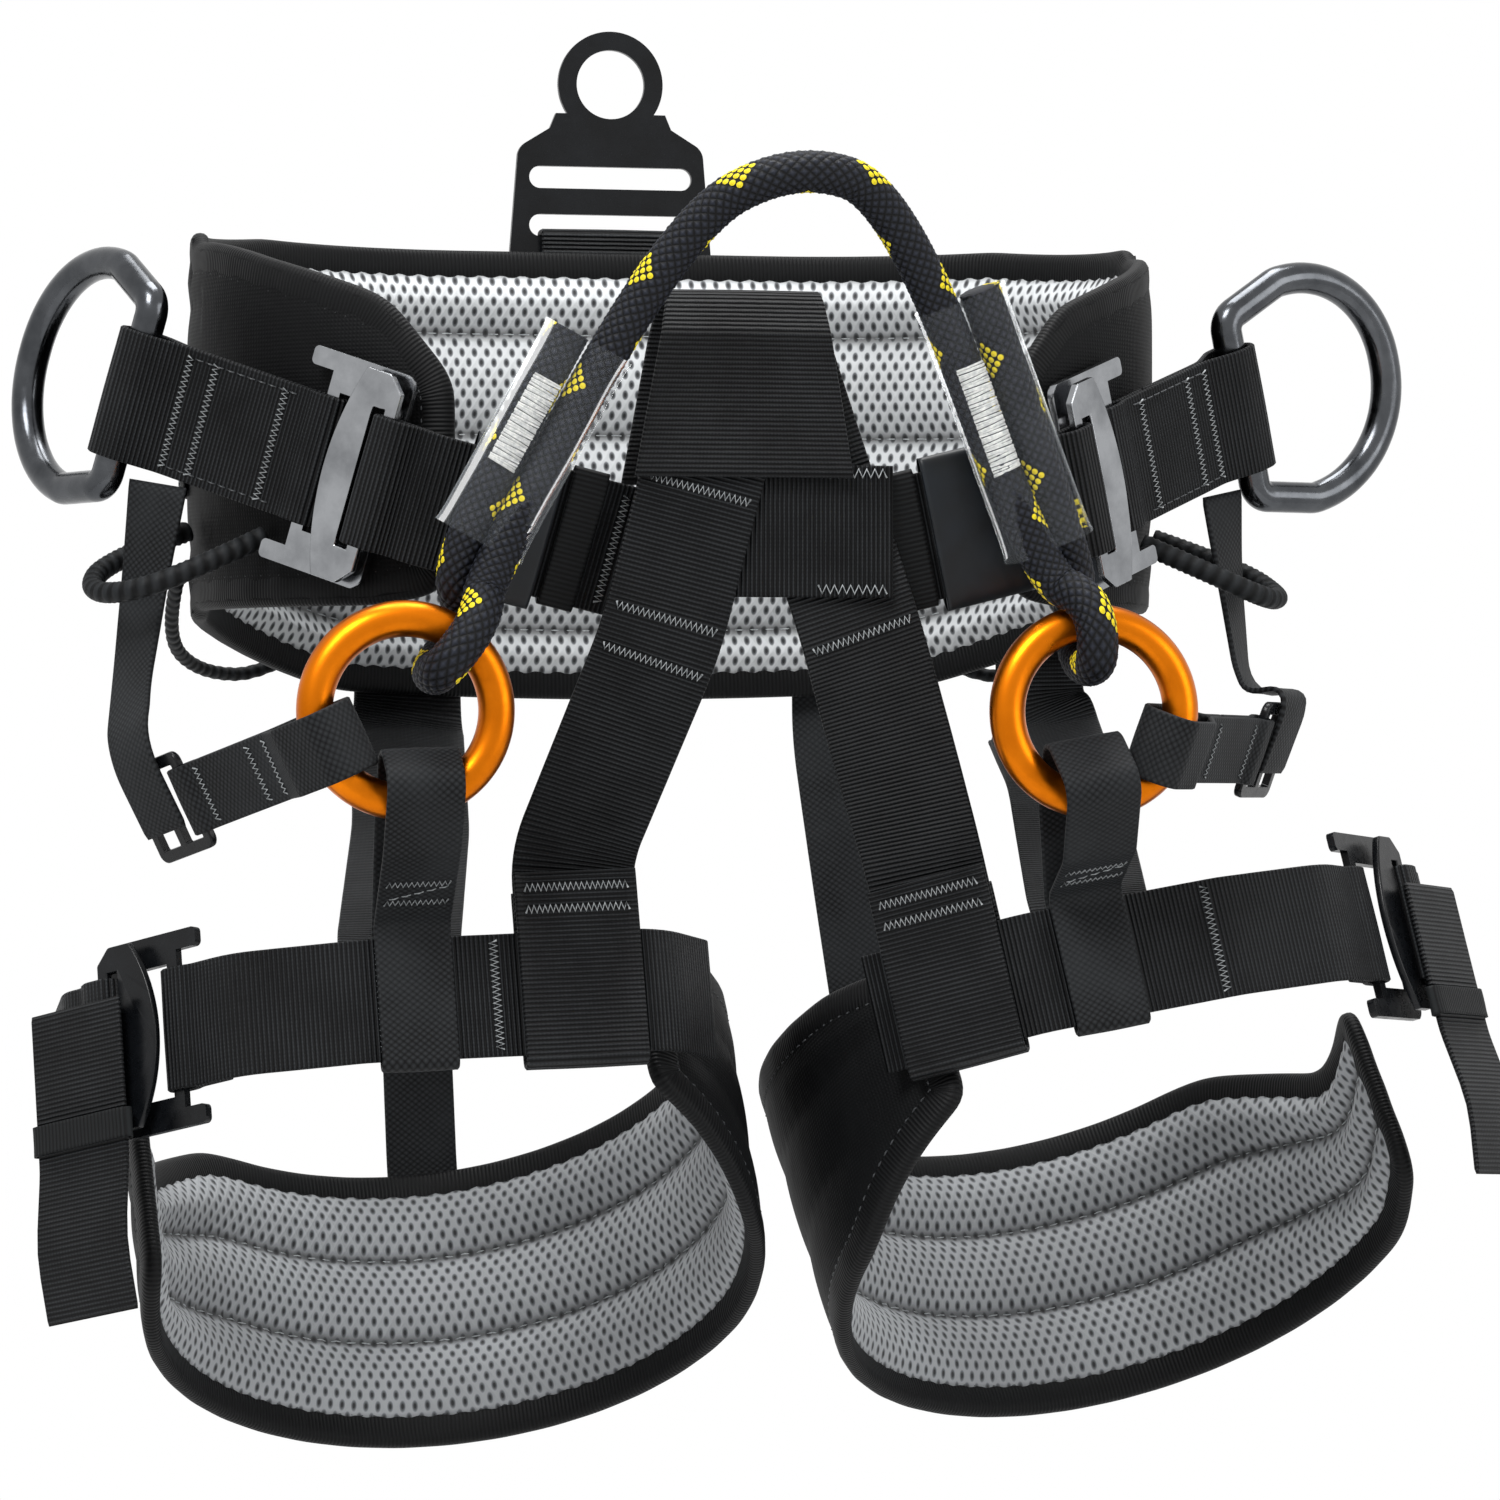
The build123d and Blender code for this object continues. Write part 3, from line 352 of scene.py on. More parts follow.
def bonded_thread(name, shade_hex, hex_code, twist=900.0):
    """Bonded polyester thread: twisted, with painted shade and highlight along it, darker and lighter
    in turn, and a soft gloss.
    """
    made, tree = material(name)
    coord = add(tree, "ShaderNodeTexCoord")
    fuzz = add(tree, "ShaderNodeTexNoise", {"Vector": coord.outputs["Object"]}, Scale=twist,
               Detail=3.0)
    # painted shade and highlight: the thread turns from its shade colour to its lit colour along the
    # twist
    tone = add(tree, "ShaderNodeValToRGB", {"Fac": fuzz.outputs["Fac"]}, stops=[
        (0.3, linear(shade_hex)), (0.7, linear(hex_code))])
    bump = add(tree, "ShaderNodeBump", {"Height": fuzz.outputs["Fac"]}, Strength=0.4,
               Distance=0.0002)
    shader = add(tree, "ShaderNodeBsdfPrincipled",
                 {"Base Color": tone.outputs["Color"], "Normal": bump.outputs["Normal"]},
                 Roughness=0.5)
    return finished(made, shader)


def metal(name, hex_code, worn_hex, roughness, grain, metallic=1.0, specular=0.5):
    """Metal or coated metal: tone and gloss drift over the surface, with fine tool marks.

    The grain is in marks per metre along each axis.
    """
    made, tree = material(name)
    coord = add(tree, "ShaderNodeTexCoord")
    cloud = add(tree, "ShaderNodeTexNoise", {"Vector": coord.outputs["Object"]}, Scale=45.0,
                Detail=6.0, Roughness=0.6)
    marks = add(tree, "ShaderNodeTexNoise", {
        "Vector": add(tree, "ShaderNodeMapping", {"Vector": coord.outputs["Object"]},
                      Scale=grain).outputs[0]}, Scale=1.0, Detail=4.0, Roughness=0.7)
    tone = add(tree, "ShaderNodeValToRGB", {"Fac": cloud.outputs["Fac"]}, stops=[
        (0.35, linear(hex_code)), (0.72, linear(worn_hex))])
    gloss = add(tree, "ShaderNodeMapRange", {"Value": marks.outputs["Fac"]}, From_Min=0.3,
                From_Max=0.7, To_Min=max(0.05, roughness - 0.07), To_Max=roughness + 0.09)
    bump = add(tree, "ShaderNodeBump", {"Height": marks.outputs["Fac"]}, Strength=0.12,
               Distance=0.0004)
    shader = add(tree, "ShaderNodeBsdfPrincipled",
                 {"Base Color": tone.outputs["Color"], "Roughness": gloss.outputs[0],
                  "Normal": bump.outputs["Normal"], "Metallic": metallic,
                  "Specular IOR Level": specular})
    return finished(made, shader)


def braided_rope():
    """Braided polyamide sheath: crossing yarns, dark, with clusters of yellow tracer yarn."""
    made, tree = material("braided_polyamide_sheath")
    uv = add(tree, "ShaderNodeUVMap")
    part = add(tree, "ShaderNodeSeparateXYZ", {0: uv.outputs["UV"]})
    # u is metres along the rope and v turns round it; its yarns are drawn 3.8 mm apart along it,
    # coarser than in a real sheath, so that they show
    along = add(tree, "ShaderNodeMath", {0: part.outputs[0], 1: 1 / (YARN_PITCH * MM)},
                operation="MULTIPLY")
    around = add(tree, "ShaderNodeMath", {0: part.outputs[1], 1: YARNS}, operation="MULTIPLY")
    first = add(tree, "ShaderNodeMath", {0: around.outputs[0], 1: along.outputs[0]},
                operation="ADD")
    second = add(tree, "ShaderNodeMath", {0: around.outputs[0], 1: along.outputs[0]},
                 operation="SUBTRACT")
    hump = []
    fleck = []
    for lane in (first, second):
        place = add(tree, "ShaderNodeMath", {0: lane.outputs[0]}, operation="FRACT")
        off = add(tree, "ShaderNodeMath", {0: place.outputs[0], 1: 0.5}, operation="SUBTRACT")
        side = add(tree, "ShaderNodeMath", {0: off.outputs[0]}, operation="ABSOLUTE")
        hump.append(side)
        whole = add(tree, "ShaderNodeMath", {0: lane.outputs[0]}, operation="FLOOR")
        step = add(tree, "ShaderNodeMath", {0: whole.outputs[0], 1: YARNS},
                   operation="FLOORED_MODULO")
        near = add(tree, "ShaderNodeMath", {0: step.outputs[0], 1: 3.5}, operation="LESS_THAN")
        fleck.append(near)
    ridge = add(tree, "ShaderNodeMath", {0: hump[0].outputs[0], 1: hump[1].outputs[0]},
                operation="MAXIMUM")
    both = add(tree, "ShaderNodeMath", {0: fleck[0].outputs[0], 1: fleck[1].outputs[0]},
               operation="MULTIPLY")
    spread = add(tree, "ShaderNodeCombineXYZ", {0: hump[0].outputs[0], 1: hump[1].outputs[0]})
    reach = add(tree, "ShaderNodeVectorMath", {0: spread.outputs[0]}, operation="LENGTH")
    inside = add(tree, "ShaderNodeMath", {0: reach.outputs["Value"], 1: 0.41},
                 operation="LESS_THAN")
    yellow = add(tree, "ShaderNodeMath", {0: both.outputs[0], 1: inside.outputs[0]},
                 operation="MULTIPLY")
    # painted shade and highlight: each yarn's crown is lighter, the grooves between yarns near black
    dark = add(tree, "ShaderNodeValToRGB", {"Fac": ridge.outputs[0]}, stops=[
        (0.10, linear("272A33")), (0.44, linear("030304"))])
    tone = add(tree, "ShaderNodeMix", {
        "Factor": yellow.outputs[0], "A": dark.outputs["Color"], "B": linear(colours().tracer)},
        data_type="RGBA")
    bump = add(tree, "ShaderNodeBump", {"Height": ridge.outputs[0]}, invert=True, Strength=0.9,
               Distance=0.0008)
    shader = add(tree, "ShaderNodeBsdfPrincipled",
                 {"Base Color": tone.outputs["Result"], "Normal": bump.outputs["Normal"],
                  "Specular IOR Level": 0.16}, Roughness=0.55)
    return finished(made, shader)


def served_cord():
    """Ribbed cord sheath: dark grey polyester wrapped round a stiff core."""
    made, tree = material("ribbed_cord_sheath")
    uv = add(tree, "ShaderNodeUVMap")
    turn = add(tree, "ShaderNodeTexWave", {
        "Vector": add(tree, "ShaderNodeMapping", {"Vector": uv.outputs["UV"]},
                      Scale=(1.0, 0.004, 1.0)).outputs[0]},
        wave_type="BANDS", bands_direction="DIAGONAL", Scale=band_scale(0.0026))
    # painted highlight: the crests of the wrapping are painted lighter than the grooves
    tone = add(tree, "ShaderNodeValToRGB", {"Fac": turn.outputs["Fac"]}, stops=[
        (0.1, linear("08090A")), (0.9, linear("222426"))])
    bump = add(tree, "ShaderNodeBump", {"Height": turn.outputs["Fac"]}, Strength=0.8,
               Distance=0.0006)
    shader = add(tree, "ShaderNodeBsdfPrincipled",
                 {"Base Color": tone.outputs["Color"], "Normal": bump.outputs["Normal"]},
                 Specular_IOR_Level=0.14, Roughness=0.6)
    return finished(made, shader)


def clear_tube():
    """Shrunk clear vinyl tube: see-through face on, milky and glossy where it curves away."""
    made, tree = material("clear_vinyl_tube")
    coord = add(tree, "ShaderNodeTexCoord")
    haze = add(tree, "ShaderNodeTexNoise", {"Vector": coord.outputs["Object"]}, Scale=26.0,
               Detail=2.0)
    rim = add(tree, "ShaderNodeLayerWeight", Blend=0.35)
    milk = add(tree, "ShaderNodeMapRange", {"Value": rim.outputs["Facing"]}, From_Min=0.35,
               From_Max=0.95, To_Min=0.035, To_Max=0.42)
    cloud = add(tree, "ShaderNodeMapRange", {"Value": haze.outputs["Fac"]}, From_Min=0.3,
                From_Max=0.7, To_Min=0.6, To_Max=1.3)
    cover = add(tree, "ShaderNodeMath", {0: milk.outputs[0], 1: cloud.outputs[0]},
                operation="MULTIPLY")
    bump = add(tree, "ShaderNodeBump", {"Height": haze.outputs["Fac"]}, Strength=0.3,
               Distance=0.002)
    body = add(tree, "ShaderNodeBsdfPrincipled",
               {"Alpha": cover.outputs[0], "Normal": bump.outputs["Normal"]},
               Base_Color=linear("DDE4EA"), Roughness=0.12)
    # the gloss of the vinyl lies over the clear part too
    glint = add(tree, "ShaderNodeMapRange", {"Value": rim.outputs["Fresnel"]}, From_Min=0.1,
                To_Min=0.0, To_Max=0.6)
    shine = add(tree, "ShaderNodeBsdfAnisotropic",
                {"Color": glint.outputs[0], "Normal": bump.outputs["Normal"]}, Roughness=0.14)
    shader = add(tree, "ShaderNodeAddShader", {0: body.outputs[0], 1: shine.outputs[0]})
    return finished(made, shader)


def coated_cloth():
    """Smooth coated sleeve cloth: dark navy with a satin face and slight puckers."""
    made, tree = material("coated_sleeve_cloth")
    coord = add(tree, "ShaderNodeTexCoord")
    pucker = add(tree, "ShaderNodeTexNoise", {"Vector": coord.outputs["Object"]}, Scale=70.0,
                 Detail=3.0)
    # painted highlight: the sleeve is painted a little lighter on the tops of its puckers
    tone = add(tree, "ShaderNodeValToRGB", {"Fac": pucker.outputs["Fac"]}, stops=[
        (0.3, linear(colours().sleeve)), (0.8, linear("141A20"))])
    bump = add(tree, "ShaderNodeBump", {"Height": pucker.outputs["Fac"]}, Strength=0.4,
               Distance=0.001)
    shader = add(tree, "ShaderNodeBsdfPrincipled",
                 {"Base Color": tone.outputs["Color"], "Normal": bump.outputs["Normal"]},
                 Specular_IOR_Level=0.3, Roughness=0.42)
    return finished(made, shader)


MAKERS = {
    "ribbed": ribbed_nylon,
    "plain": plain_nylon,
    "mesh_waist": lambda: air_mesh("waist_spacer_mesh", colours().mesh_waist),
    "mesh_leg": lambda: air_mesh("leg_spacer_mesh", colours().mesh_leg),
    "cover": cover_cloth,
    "binding": grosgrain,
    # pale grey thread of the bar tacks
    "thread": lambda: bonded_thread("bonded_polyester_thread", "7C8183", colours().thread),
    # black thread of the seams and edge stitching, a shade lighter than the cloth
    "dark_thread": lambda: bonded_thread("black_bonded_thread", "26282A", "4A4D50"),
    # undyed thread of the rope's sewn eyes, warm white
    "pale_thread": lambda: bonded_thread("undyed_polyester_thread", "B9BBBB", "E6E6E2", 700.0),
    "rope": braided_rope,
    "cord": served_cord,
    "tube": clear_tube,
    "elastic": elastic,
    "sleeve": coated_cloth,
    # anodised aluminium: saturated orange over metal, highlights a little spread
    "ring": lambda: metal("anodised_aluminium", colours().ring, "B65E08", 0.33, (90, 90, 90)),
    # forged aluminium, tumbled: dark grey, with highlights broken by its grain
    "dee": lambda: metal("tumbled_forged_aluminium", "56585B", "393B3E", 0.2, (160, 160, 160)),
    # polished steel: grey, with clear highlights over faint marks
    "bright": lambda: metal("polished_steel", "9EA0A3", "77797C", 0.17, (220, 220, 220)),
    # black coated steel: near black with a soft gloss, a shade greyer in patches
    "black": lambda: metal("black_coated_steel", "07080A", "121417", 0.27, (240, 240, 240),
                           metallic=0.0, specular=0.22),
}


def finish_of(key):
    """The material of a key in MAKERS, made when it is first asked for."""
    if key not in _materials:
        _materials[key] = MAKERS[key]()
    return _materials[key]


# ---------------------------------------------------------------- sizes shared with the solids
# webbing: thickness, and the widths of belts, leg and yoke straps, and light straps
WEB_T = 2.4
BELT_W = 48.0
STRAP_W = 45.0
LIGHT_W = 28.0
# between two layers, inside a free fold, and from layer to layer
GAP = 0.3
FREE = 0.6
LAYER = WEB_T / 2 + GAP / 2
PITCH = WEB_T + GAP
# waist pad: its straight back, the bends of its two faces, its edges and its front tips
WAIST_STRAIGHT = 124.0
WAIST_HALF = WAIST_STRAIGHT / 2
WAIST_R = 112.0
WAIST_OUTER_R = 124.0
WAIST_MIDDLE_R = (WAIST_R + WAIST_OUTER_R) / 2
PAD_TOP = 88.0
PAD_BOTTOM = -87.0
WING_BOTTOM = -55.0
WING_TIP_X = 104.0
# rope bridge and its rings
RING_MAJOR = 32.5
RING_MINOR = 6.5
RING_AT = {-1: Vector((-126, -150, -96)), 1: Vector((126, -150, -96))}
ROPE_D = 15.0
SLEEVE_TOP = {-1: Vector((-62, -160, 35)), 1: Vector((72, -165, 52))}
SLEEVE_BOTTOM = {-1: Vector((-100, -150, -36)), 1: Vector((109, -150, -36))}
ROPE_RISE = {-1: 52.0, 1: 42.0}
ROPE_APEX = Vector((8, -184, 98))
# where a strap or the rope meets a ring: 0 points to the saddle's middle, 90 up
RING_LEG_ANGLE = {-1: 279.0, 1: 273.0}
RING_SIDE_ANGLE = 204.0
RING_ROPE_ANGLE = {-1: 52.0, 1: 84.0}
# D-ring bar, and how far the strap beside it turns to the front and down, in degrees
DEE_BAR_AT = (213.0, -45.5, 21.0)
SIDE_SWEEP = 38.0
SIDE_DROP = 18.0
SIDE_LOOP_L = 84.0
# buckles: half thickness of their plates, room for the tilting tongue, rails and folds
HALF_PLATE = 1.5
TILT_ROOM = 1.4
RAIL = 5.0
TONGUE_FOLD = HALF_PLATE + TILT_ROOM + WEB_T / 2
TONGUE_LIFT = HALF_PLATE + GAP + WEB_T + TILT_ROOM + HALF_PLATE
FRAME_FOLD = HALF_PLATE + FREE + WEB_T / 2
BAR_FOLD = RAIL / 2 + FREE + WEB_T / 2
DEE_FOLD = 6.0 + FREE + WEB_T / 2
SLOT_X = -5.0
TONGUE_BAR_X = 28.5
BELT_Y = -TONGUE_FOLD + WEB_T + GAP
# layers at the front, one pitch apart
RIGHT_YOKE_Y = -134.5
CENTRE_BELT_Y = RIGHT_YOKE_Y - PITCH
LEFT_YOKE_Y = CENTRE_BELT_Y - PITCH
VENTRAL_FRONT_Y = LEFT_YOKE_Y - PITCH
VENTRAL_BACK_Y = -118.0
# thighs: radius, tilt of pads and bands, and each leg's place and roll
LEG_R = 117.0
LEG_TILT = 34.6
BAND_TILT = 14.0
LEG_PAD_H = 114.0
LEG_FRONT = {-1: (-97.0, -122.0, -199.0), 1: (146.0, -122.0, -186.0)}
LEG_ROLL = {-1: 2.0, 1: 10.0}
PAD_DROP = {-1: 0.0, 1: 6.0}
# leg band: its run at the front, and its buckle
BAND_RUN_Y = -2
BAND_KNEE = {-1: 69.0, 1: 36.0}
BAND_END = (92.0, 25.0)
LEG_BUCKLE_AT = (103, 35)
LEG_BUCKLE_TURN = 50.0
# yoke straps and their feet on the bands
YOKE_TOP = {-1: (-6.0, 30.0), 1: (9.0, 34.0)}
YOKE_Y = {-1: LEFT_YOKE_Y, 1: RIGHT_YOKE_Y}
FOOT_SPAN = {-1: ((62, BAND_RUN_Y), (16, BAND_RUN_Y)), 1: (BAND_END, (36, BAND_RUN_Y))}
FOOT_HALF = WEB_T + 1.6
# light straps round the rings, and the slide buckles
WRAP_HALF = WEB_T + GAP
HUNG_REACH = {-1: 17.6, 1: 21.5}
HUNG_HALF = {-1: 11.4, 1: 14.6}
SLIDE_AT = {-1: (-200.0, -65.0, -131.0), 1: (217.0, -65.0, -110.0)}
SLIDE_L = 34.0
SLIDE_RAIL = 4.0
SLIDE_FOLD = HALF_PLATE + FREE + WEB_T / 2
SLIDE_REACH = SLIDE_RAIL / 2 + FREE + WEB_T / 2
DROP_OUT = HALF_PLATE + WEB_T / 2 + 3 * GAP
# straps from the back of the waist to the legs; the angles count from the hip to the back
RISER_AT = {-1: 80.0, 1: 36.0}
WIDE_MID = {-1: (-100.0, 10.0, -140.0), 1: (153.0, -10.0, -125.0)}
RISER_FOOT = {-1: -24.0, 1: -6.0}
NARROW_AT = {-1: 6.4, 1: -27.0}
NARROW_TOP = {-1: 80.0, 1: 78.0}
RISER_OUT = {-1: WEB_T / 2 + 4 * GAP, 1: WEB_T / 2 + 8 * GAP}
NARROW_OUT = {-1: RISER_OUT[-1] + WEB_T + 5 * GAP, 1: WEB_T / 2 + 3 * GAP}

# ---------------------------------------------------------------- sizes of the sewn detail
SOFT_CORNER = 13.0
# thread radii: bar tacks, tacks on light straps, and seams
TACK_THREAD = 0.4
LIGHT_THREAD = 0.32
SEAM_THREAD = 0.3
# half widths of bar tacks on belts, straps and light straps, and of edge seams on belts
BELT_TACK = 21
STRAP_TACK = 19
LIGHT_TACK = 11
EDGE_SEAM = 20.5
# padding: how fast it rises from a seam, the least distance of a seam from an edge, and
# the width of the edge that the binding holds flat
QUILT_RISE = 7.5
SEAM_CLEAR = 8
EDGE_FLAT = 6
COLUMN_STEP = 2.1


# ---------------------------------------------------------------- geometry, in millimetres
class Plane:
    """Right-handed axes at an origin."""

    def __init__(self, origin, x_dir, z_dir):
        self.origin = Vector(origin)
        self.x_dir = Vector(x_dir).normalized()
        self.z_dir = Vector(z_dir).normalized()
        self.y_dir = self.z_dir.cross(self.x_dir)

    def at(self, x, y, z=0.0):
        """The point at x, y and z on these axes."""
        return self.origin + self.x_dir * x + self.y_dir * y + self.z_dir * z

    def local(self, point):
        """The x, y and z of a point on these axes."""
        away = Vector(point) - self.origin
        return Vector((away.dot(self.x_dir), away.dot(self.y_dir), away.dot(self.z_dir)))

    def shifted(self, x, y=0.0, turn=0.0):
        """The same axes moved by x and y, and then turned about z by degrees."""
        run = self.x_dir * math.cos(math.radians(turn)) + self.y_dir * math.sin(math.radians(turn))
        return Plane(self.at(x, y), run, self.z_dir)


def strap_plane(origin, run, outward):
    """Plane whose X is the run of a strap, Y its outward face and Z its width."""
    run = Vector(run).normalized()
    return Plane(origin, run, run.cross(Vector(outward)).normalized())


def rounded(points, radii, step=2.0, close=False):
    """Points along straight runs and corner arcs; radii is one limit or one per corner."""
    points = [Vector((p[0], p[1])) for p in points]
    count = len(points)
    corners = range(count) if close else range(1, count - 1)
    limits = dict(zip(corners, radii)) if hasattr(radii, "__len__") else {i: radii for i in corners}
    line = []
    for i in range(count):
        if i not in limits:
            line.append(points[i])
            continue
        back = points[i - 1] - points[i]
        ahead = points[(i + 1) % count] - points[i]
        half = (math.pi - back.angle(ahead)) / 2
        if half < 0.002:
            line.append(points[i])
            continue
        room = 0.45 * min(back.length, ahead.length)
        reach = min(limits[i] * math.tan(half), room)
        radius = reach / math.tan(half)
        start = points[i] + back.normalized() * reach
        end = points[i] + ahead.normalized() * reach
        middle = points[i] + (back.normalized() + ahead.normalized()).normalized() * (
            radius / math.cos(half))
        first = start - middle
        turn = first.angle_signed(end - middle)
        pieces = max(2, math.ceil(abs(turn) / 0.16))
        for k in range(pieces + 1):
            arc = Matrix.Rotation(-turn * k / pieces, 2)
            line.append(middle + arc @ first)
    if close:
        line.append(line[0].copy())
    dense = [line[0]]
    for a, b in zip(line, line[1:]):
        pieces = max(1, math.ceil((b - a).length / step))
        if (b - a).length > 0.02:
            dense += [a.lerp(b, k / pieces) for k in range(1, pieces + 1)]
    return dense


def to_mesh(name, verts, faces, uvs, materials, face_materials=None, smooth=True):
    """A mesh object in metres from millimetre points; uvs has one pair per face corner."""
    mesh = bpy.data.meshes.new(name)
    mesh.from_pydata([Vector(v) * MM for v in verts], [], faces)
    layer = mesh.uv_layers.new(name="UVMap")
    flat = [c for face in uvs for pair in face for c in pair]
    layer.data.foreach_set("uv", flat)
    for key in materials:
        mesh.materials.append(finish_of(key))
    if face_materials:
        mesh.polygons.foreach_set("material_index", face_materials)
    mesh.polygons.foreach_set("use_smooth", [smooth] * len(mesh.polygons))
    mesh.validate()
    mesh.update()
    obj = bpy.data.objects.new(name, mesh)
    bpy.context.scene.collection.objects.link(obj)
    return obj


def loft_rings(name, rings, ring_uvs, materials, caps=True):
    """Skin over closed rings of points; a ring's uvs go once round and end on the seam."""
    count = len(rings[0])
    verts = [p for ring in rings for p in ring]
    faces = []
    uvs = []
    for i in range(len(rings) - 1):
        for k in range(count):
            n = (k + 1) % count
            faces.append((i * count + k, i * count + n, (i + 1) * count + n, (i + 1) * count + k))
            uvs.append((ring_uvs[i][k], ring_uvs[i][k + 1], ring_uvs[i + 1][k + 1],
                        ring_uvs[i + 1][k]))
    if caps:
        last = (len(rings) - 1) * count
        faces.append(tuple(reversed(range(count))))
        uvs.append(tuple(reversed(ring_uvs[0][:count])))
        faces.append(tuple(range(last, last + count)))
        uvs.append(tuple(ring_uvs[-1][:count]))
    return to_mesh(name, verts, faces, uvs, materials)


class Ribbon:
    """A strap: close stations along its centre line, each with its width and face directions."""

    def __init__(self, centres, acrosses, width):
        self.centres = [Vector(c) for c in centres]
        self.width = width
        self.thickness = WEB_T
        self.runs = [0.0]
        for a, b in zip(self.centres, self.centres[1:]):
            self.runs.append(self.runs[-1] + (b - a).length)
        self.acrosses = []
        self.faces = []
        last = len(self.centres) - 1
        for i, across in enumerate(acrosses):
            tangent = (self.centres[min(i + 1, last)] - self.centres[max(i - 1, 0)]).normalized()
            level = (Vector(across) - tangent * Vector(across).dot(tangent)).normalized()
            self.acrosses.append(level)
            self.faces.append(level.cross(tangent))

    def nearest(self, point):
        """Distance along the strap of the station nearest to a point."""
        best = min(range(len(self.centres)),
                   key=lambda i: (self.centres[i] - Vector(point)).length_squared)
        return self.runs[best]

    def at(self, run, across, lift=0.0):
        """A point on the strap; lift is from its middle layer towards its face."""
        run = min(max(run, 0.0), self.runs[-1])
        i = 0
        while i < len(self.runs) - 2 and self.runs[i + 1] < run:
            i += 1
        span = self.runs[i + 1] - self.runs[i]
        t = (run - self.runs[i]) / span if span else 0.0
        centre = self.centres[i].lerp(self.centres[i + 1], t)
        level = self.acrosses[i].lerp(self.acrosses[i + 1], t)
        face = self.faces[i].lerp(self.faces[i + 1], t)
        return centre + level * across + face * lift

    def build(self, name, key, ends=True):
        """Body with rounded selvedges and a slightly crowned face."""
        half = self.width / 2
        lip = self.thickness / 2
        section = []
        columns = 9
        for k in range(columns):
            v = (half - lip) * (2 * k / (columns - 1) - 1)
            section.append((v, lip * (0.93 + 0.07 * math.cos(math.pi * v / half))))
        for angle in (60, 20, -20, -60):
            section.append((half - lip + lip * math.cos(math.radians(angle)),
                            lip * math.sin(math.radians(angle))))
        section += [(-v, -t) for v, t in section]
        rings = []
        ring_uvs = []
        last = len(self.centres) - 1
        for i, centre in enumerate(self.centres):
            wave = 0.10 * math.sin(self.runs[i] / 6.1) + 0.07 * math.sin(self.runs[i] / 2.7 + 1)
            pinch = 0.4 if i in (0, last) and ends else 1.0
            rings.append([
                centre + self.acrosses[i] * (v * (1 + 0.004 * wave)) + self.faces[i] * (t * pinch)
                for v, t in section])
            row = [(self.runs[i] * MM, v * MM) for v, t in section]
            ring_uvs.append(row + [row[0]])
        return loft_rings(name, rings, ring_uvs, [key])


def planar_strap(plane, path, width, largest=14.0):
    """A strap whose centre line lies in a plane, along a path with rounded corners."""
    line = rounded(path, largest)
    return Ribbon([plane.at(p.x, p.y) for p in line], [plane.z_dir] * len(line), width)


def twisting_strap(stations, width):
    """A strap through (point, across) stations, with its corners eased."""
    points = [Vector(p) for p, across in stations]
    acrosses = [Vector(a).normalized() for p, a in stations]
    centres = []
    sides = []
    for i in range(len(points)):
        if i in (0, len(points) - 1):
            centres.append(points[i])
            sides.append(acrosses[i])
            continue
        back = points[i - 1] - points[i]
        ahead = points[i + 1] - points[i]
        a = min(SOFT_CORNER / back.length, 0.45)
        b = min(SOFT_CORNER / ahead.length, 0.45)
        start, end = points[i] + back * a, points[i] + ahead * b
        first = acrosses[i].lerp(acrosses[i - 1], a)
        final = acrosses[i].lerp(acrosses[i + 1], b)
        for k in range(9):
            t = k / 8
            centres.append(start * (1 - t) ** 2 + points[i] * 2 * t * (1 - t) + end * t ** 2)
            sides.append(first * (1 - t) ** 2 + acrosses[i] * 2 * t * (1 - t) + final * t ** 2)
    dense = [centres[0]]
    dense_sides = [sides[0]]
    for i in range(len(centres) - 1):
        pieces = max(1, math.ceil((centres[i + 1] - centres[i]).length / 3.0))
        for k in range(1, pieces + 1):
            t = k / pieces
            dense.append(centres[i].lerp(centres[i + 1], t))
            dense_sides.append(sides[i].lerp(sides[i + 1], t))
    return Ribbon(dense, dense_sides, width)


def strap(name, ribbon, key, slot_name):
    """Body of a strap in the scene, standing for its solid."""
    obj = ribbon.build(name + "_woven", key)
    settle(obj, slot_name, name)


def settle(obj, slot_name, *nodes):
    """The saddle's straps, pads and cords all ride the harness, each in place of its solids."""
    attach(obj, "harness")
    if nodes:
        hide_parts(*nodes)


def thread_mesh(name, lines, radius, key):
    """Sewing thread: thin tubes along short polylines, all in one mesh."""
    verts = []
    faces = []
    uvs = []
    sides = 5
    for line in lines:
        start = len(verts)
        for i, point in enumerate(line):
            ahead = line[min(i + 1, len(line) - 1)] - line[max(i - 1, 0)]
            if ahead.length < 1e-6:
                ahead = Vector((0, 0, 1))
            ahead.normalize()
            first = ahead.orthogonal().normalized()
            second = ahead.cross(first)
            for k in range(sides):
                turn = 2 * math.pi * k / sides
                verts.append(point + (first * math.cos(turn) + second * math.sin(turn)) * radius)
        for i in range(len(line) - 1):
            for k in range(sides):
                n = (k + 1) % sides
                a = start + i * sides
                faces.append((a + k, a + n, a + sides + n, a + sides + k))
                uvs.append(((i, k), (i, k + 1), (i + 1, k + 1), (i + 1, k)))
        for end in (0, len(line) - 1):
            ring = range(start + end * sides, start + (end + 1) * sides)
            faces.append(tuple(ring))
            uvs.append(tuple((0, k) for k in range(sides)))
    obj = to_mesh(name, verts, faces, uvs, [key])
    settle(obj, "webbing")


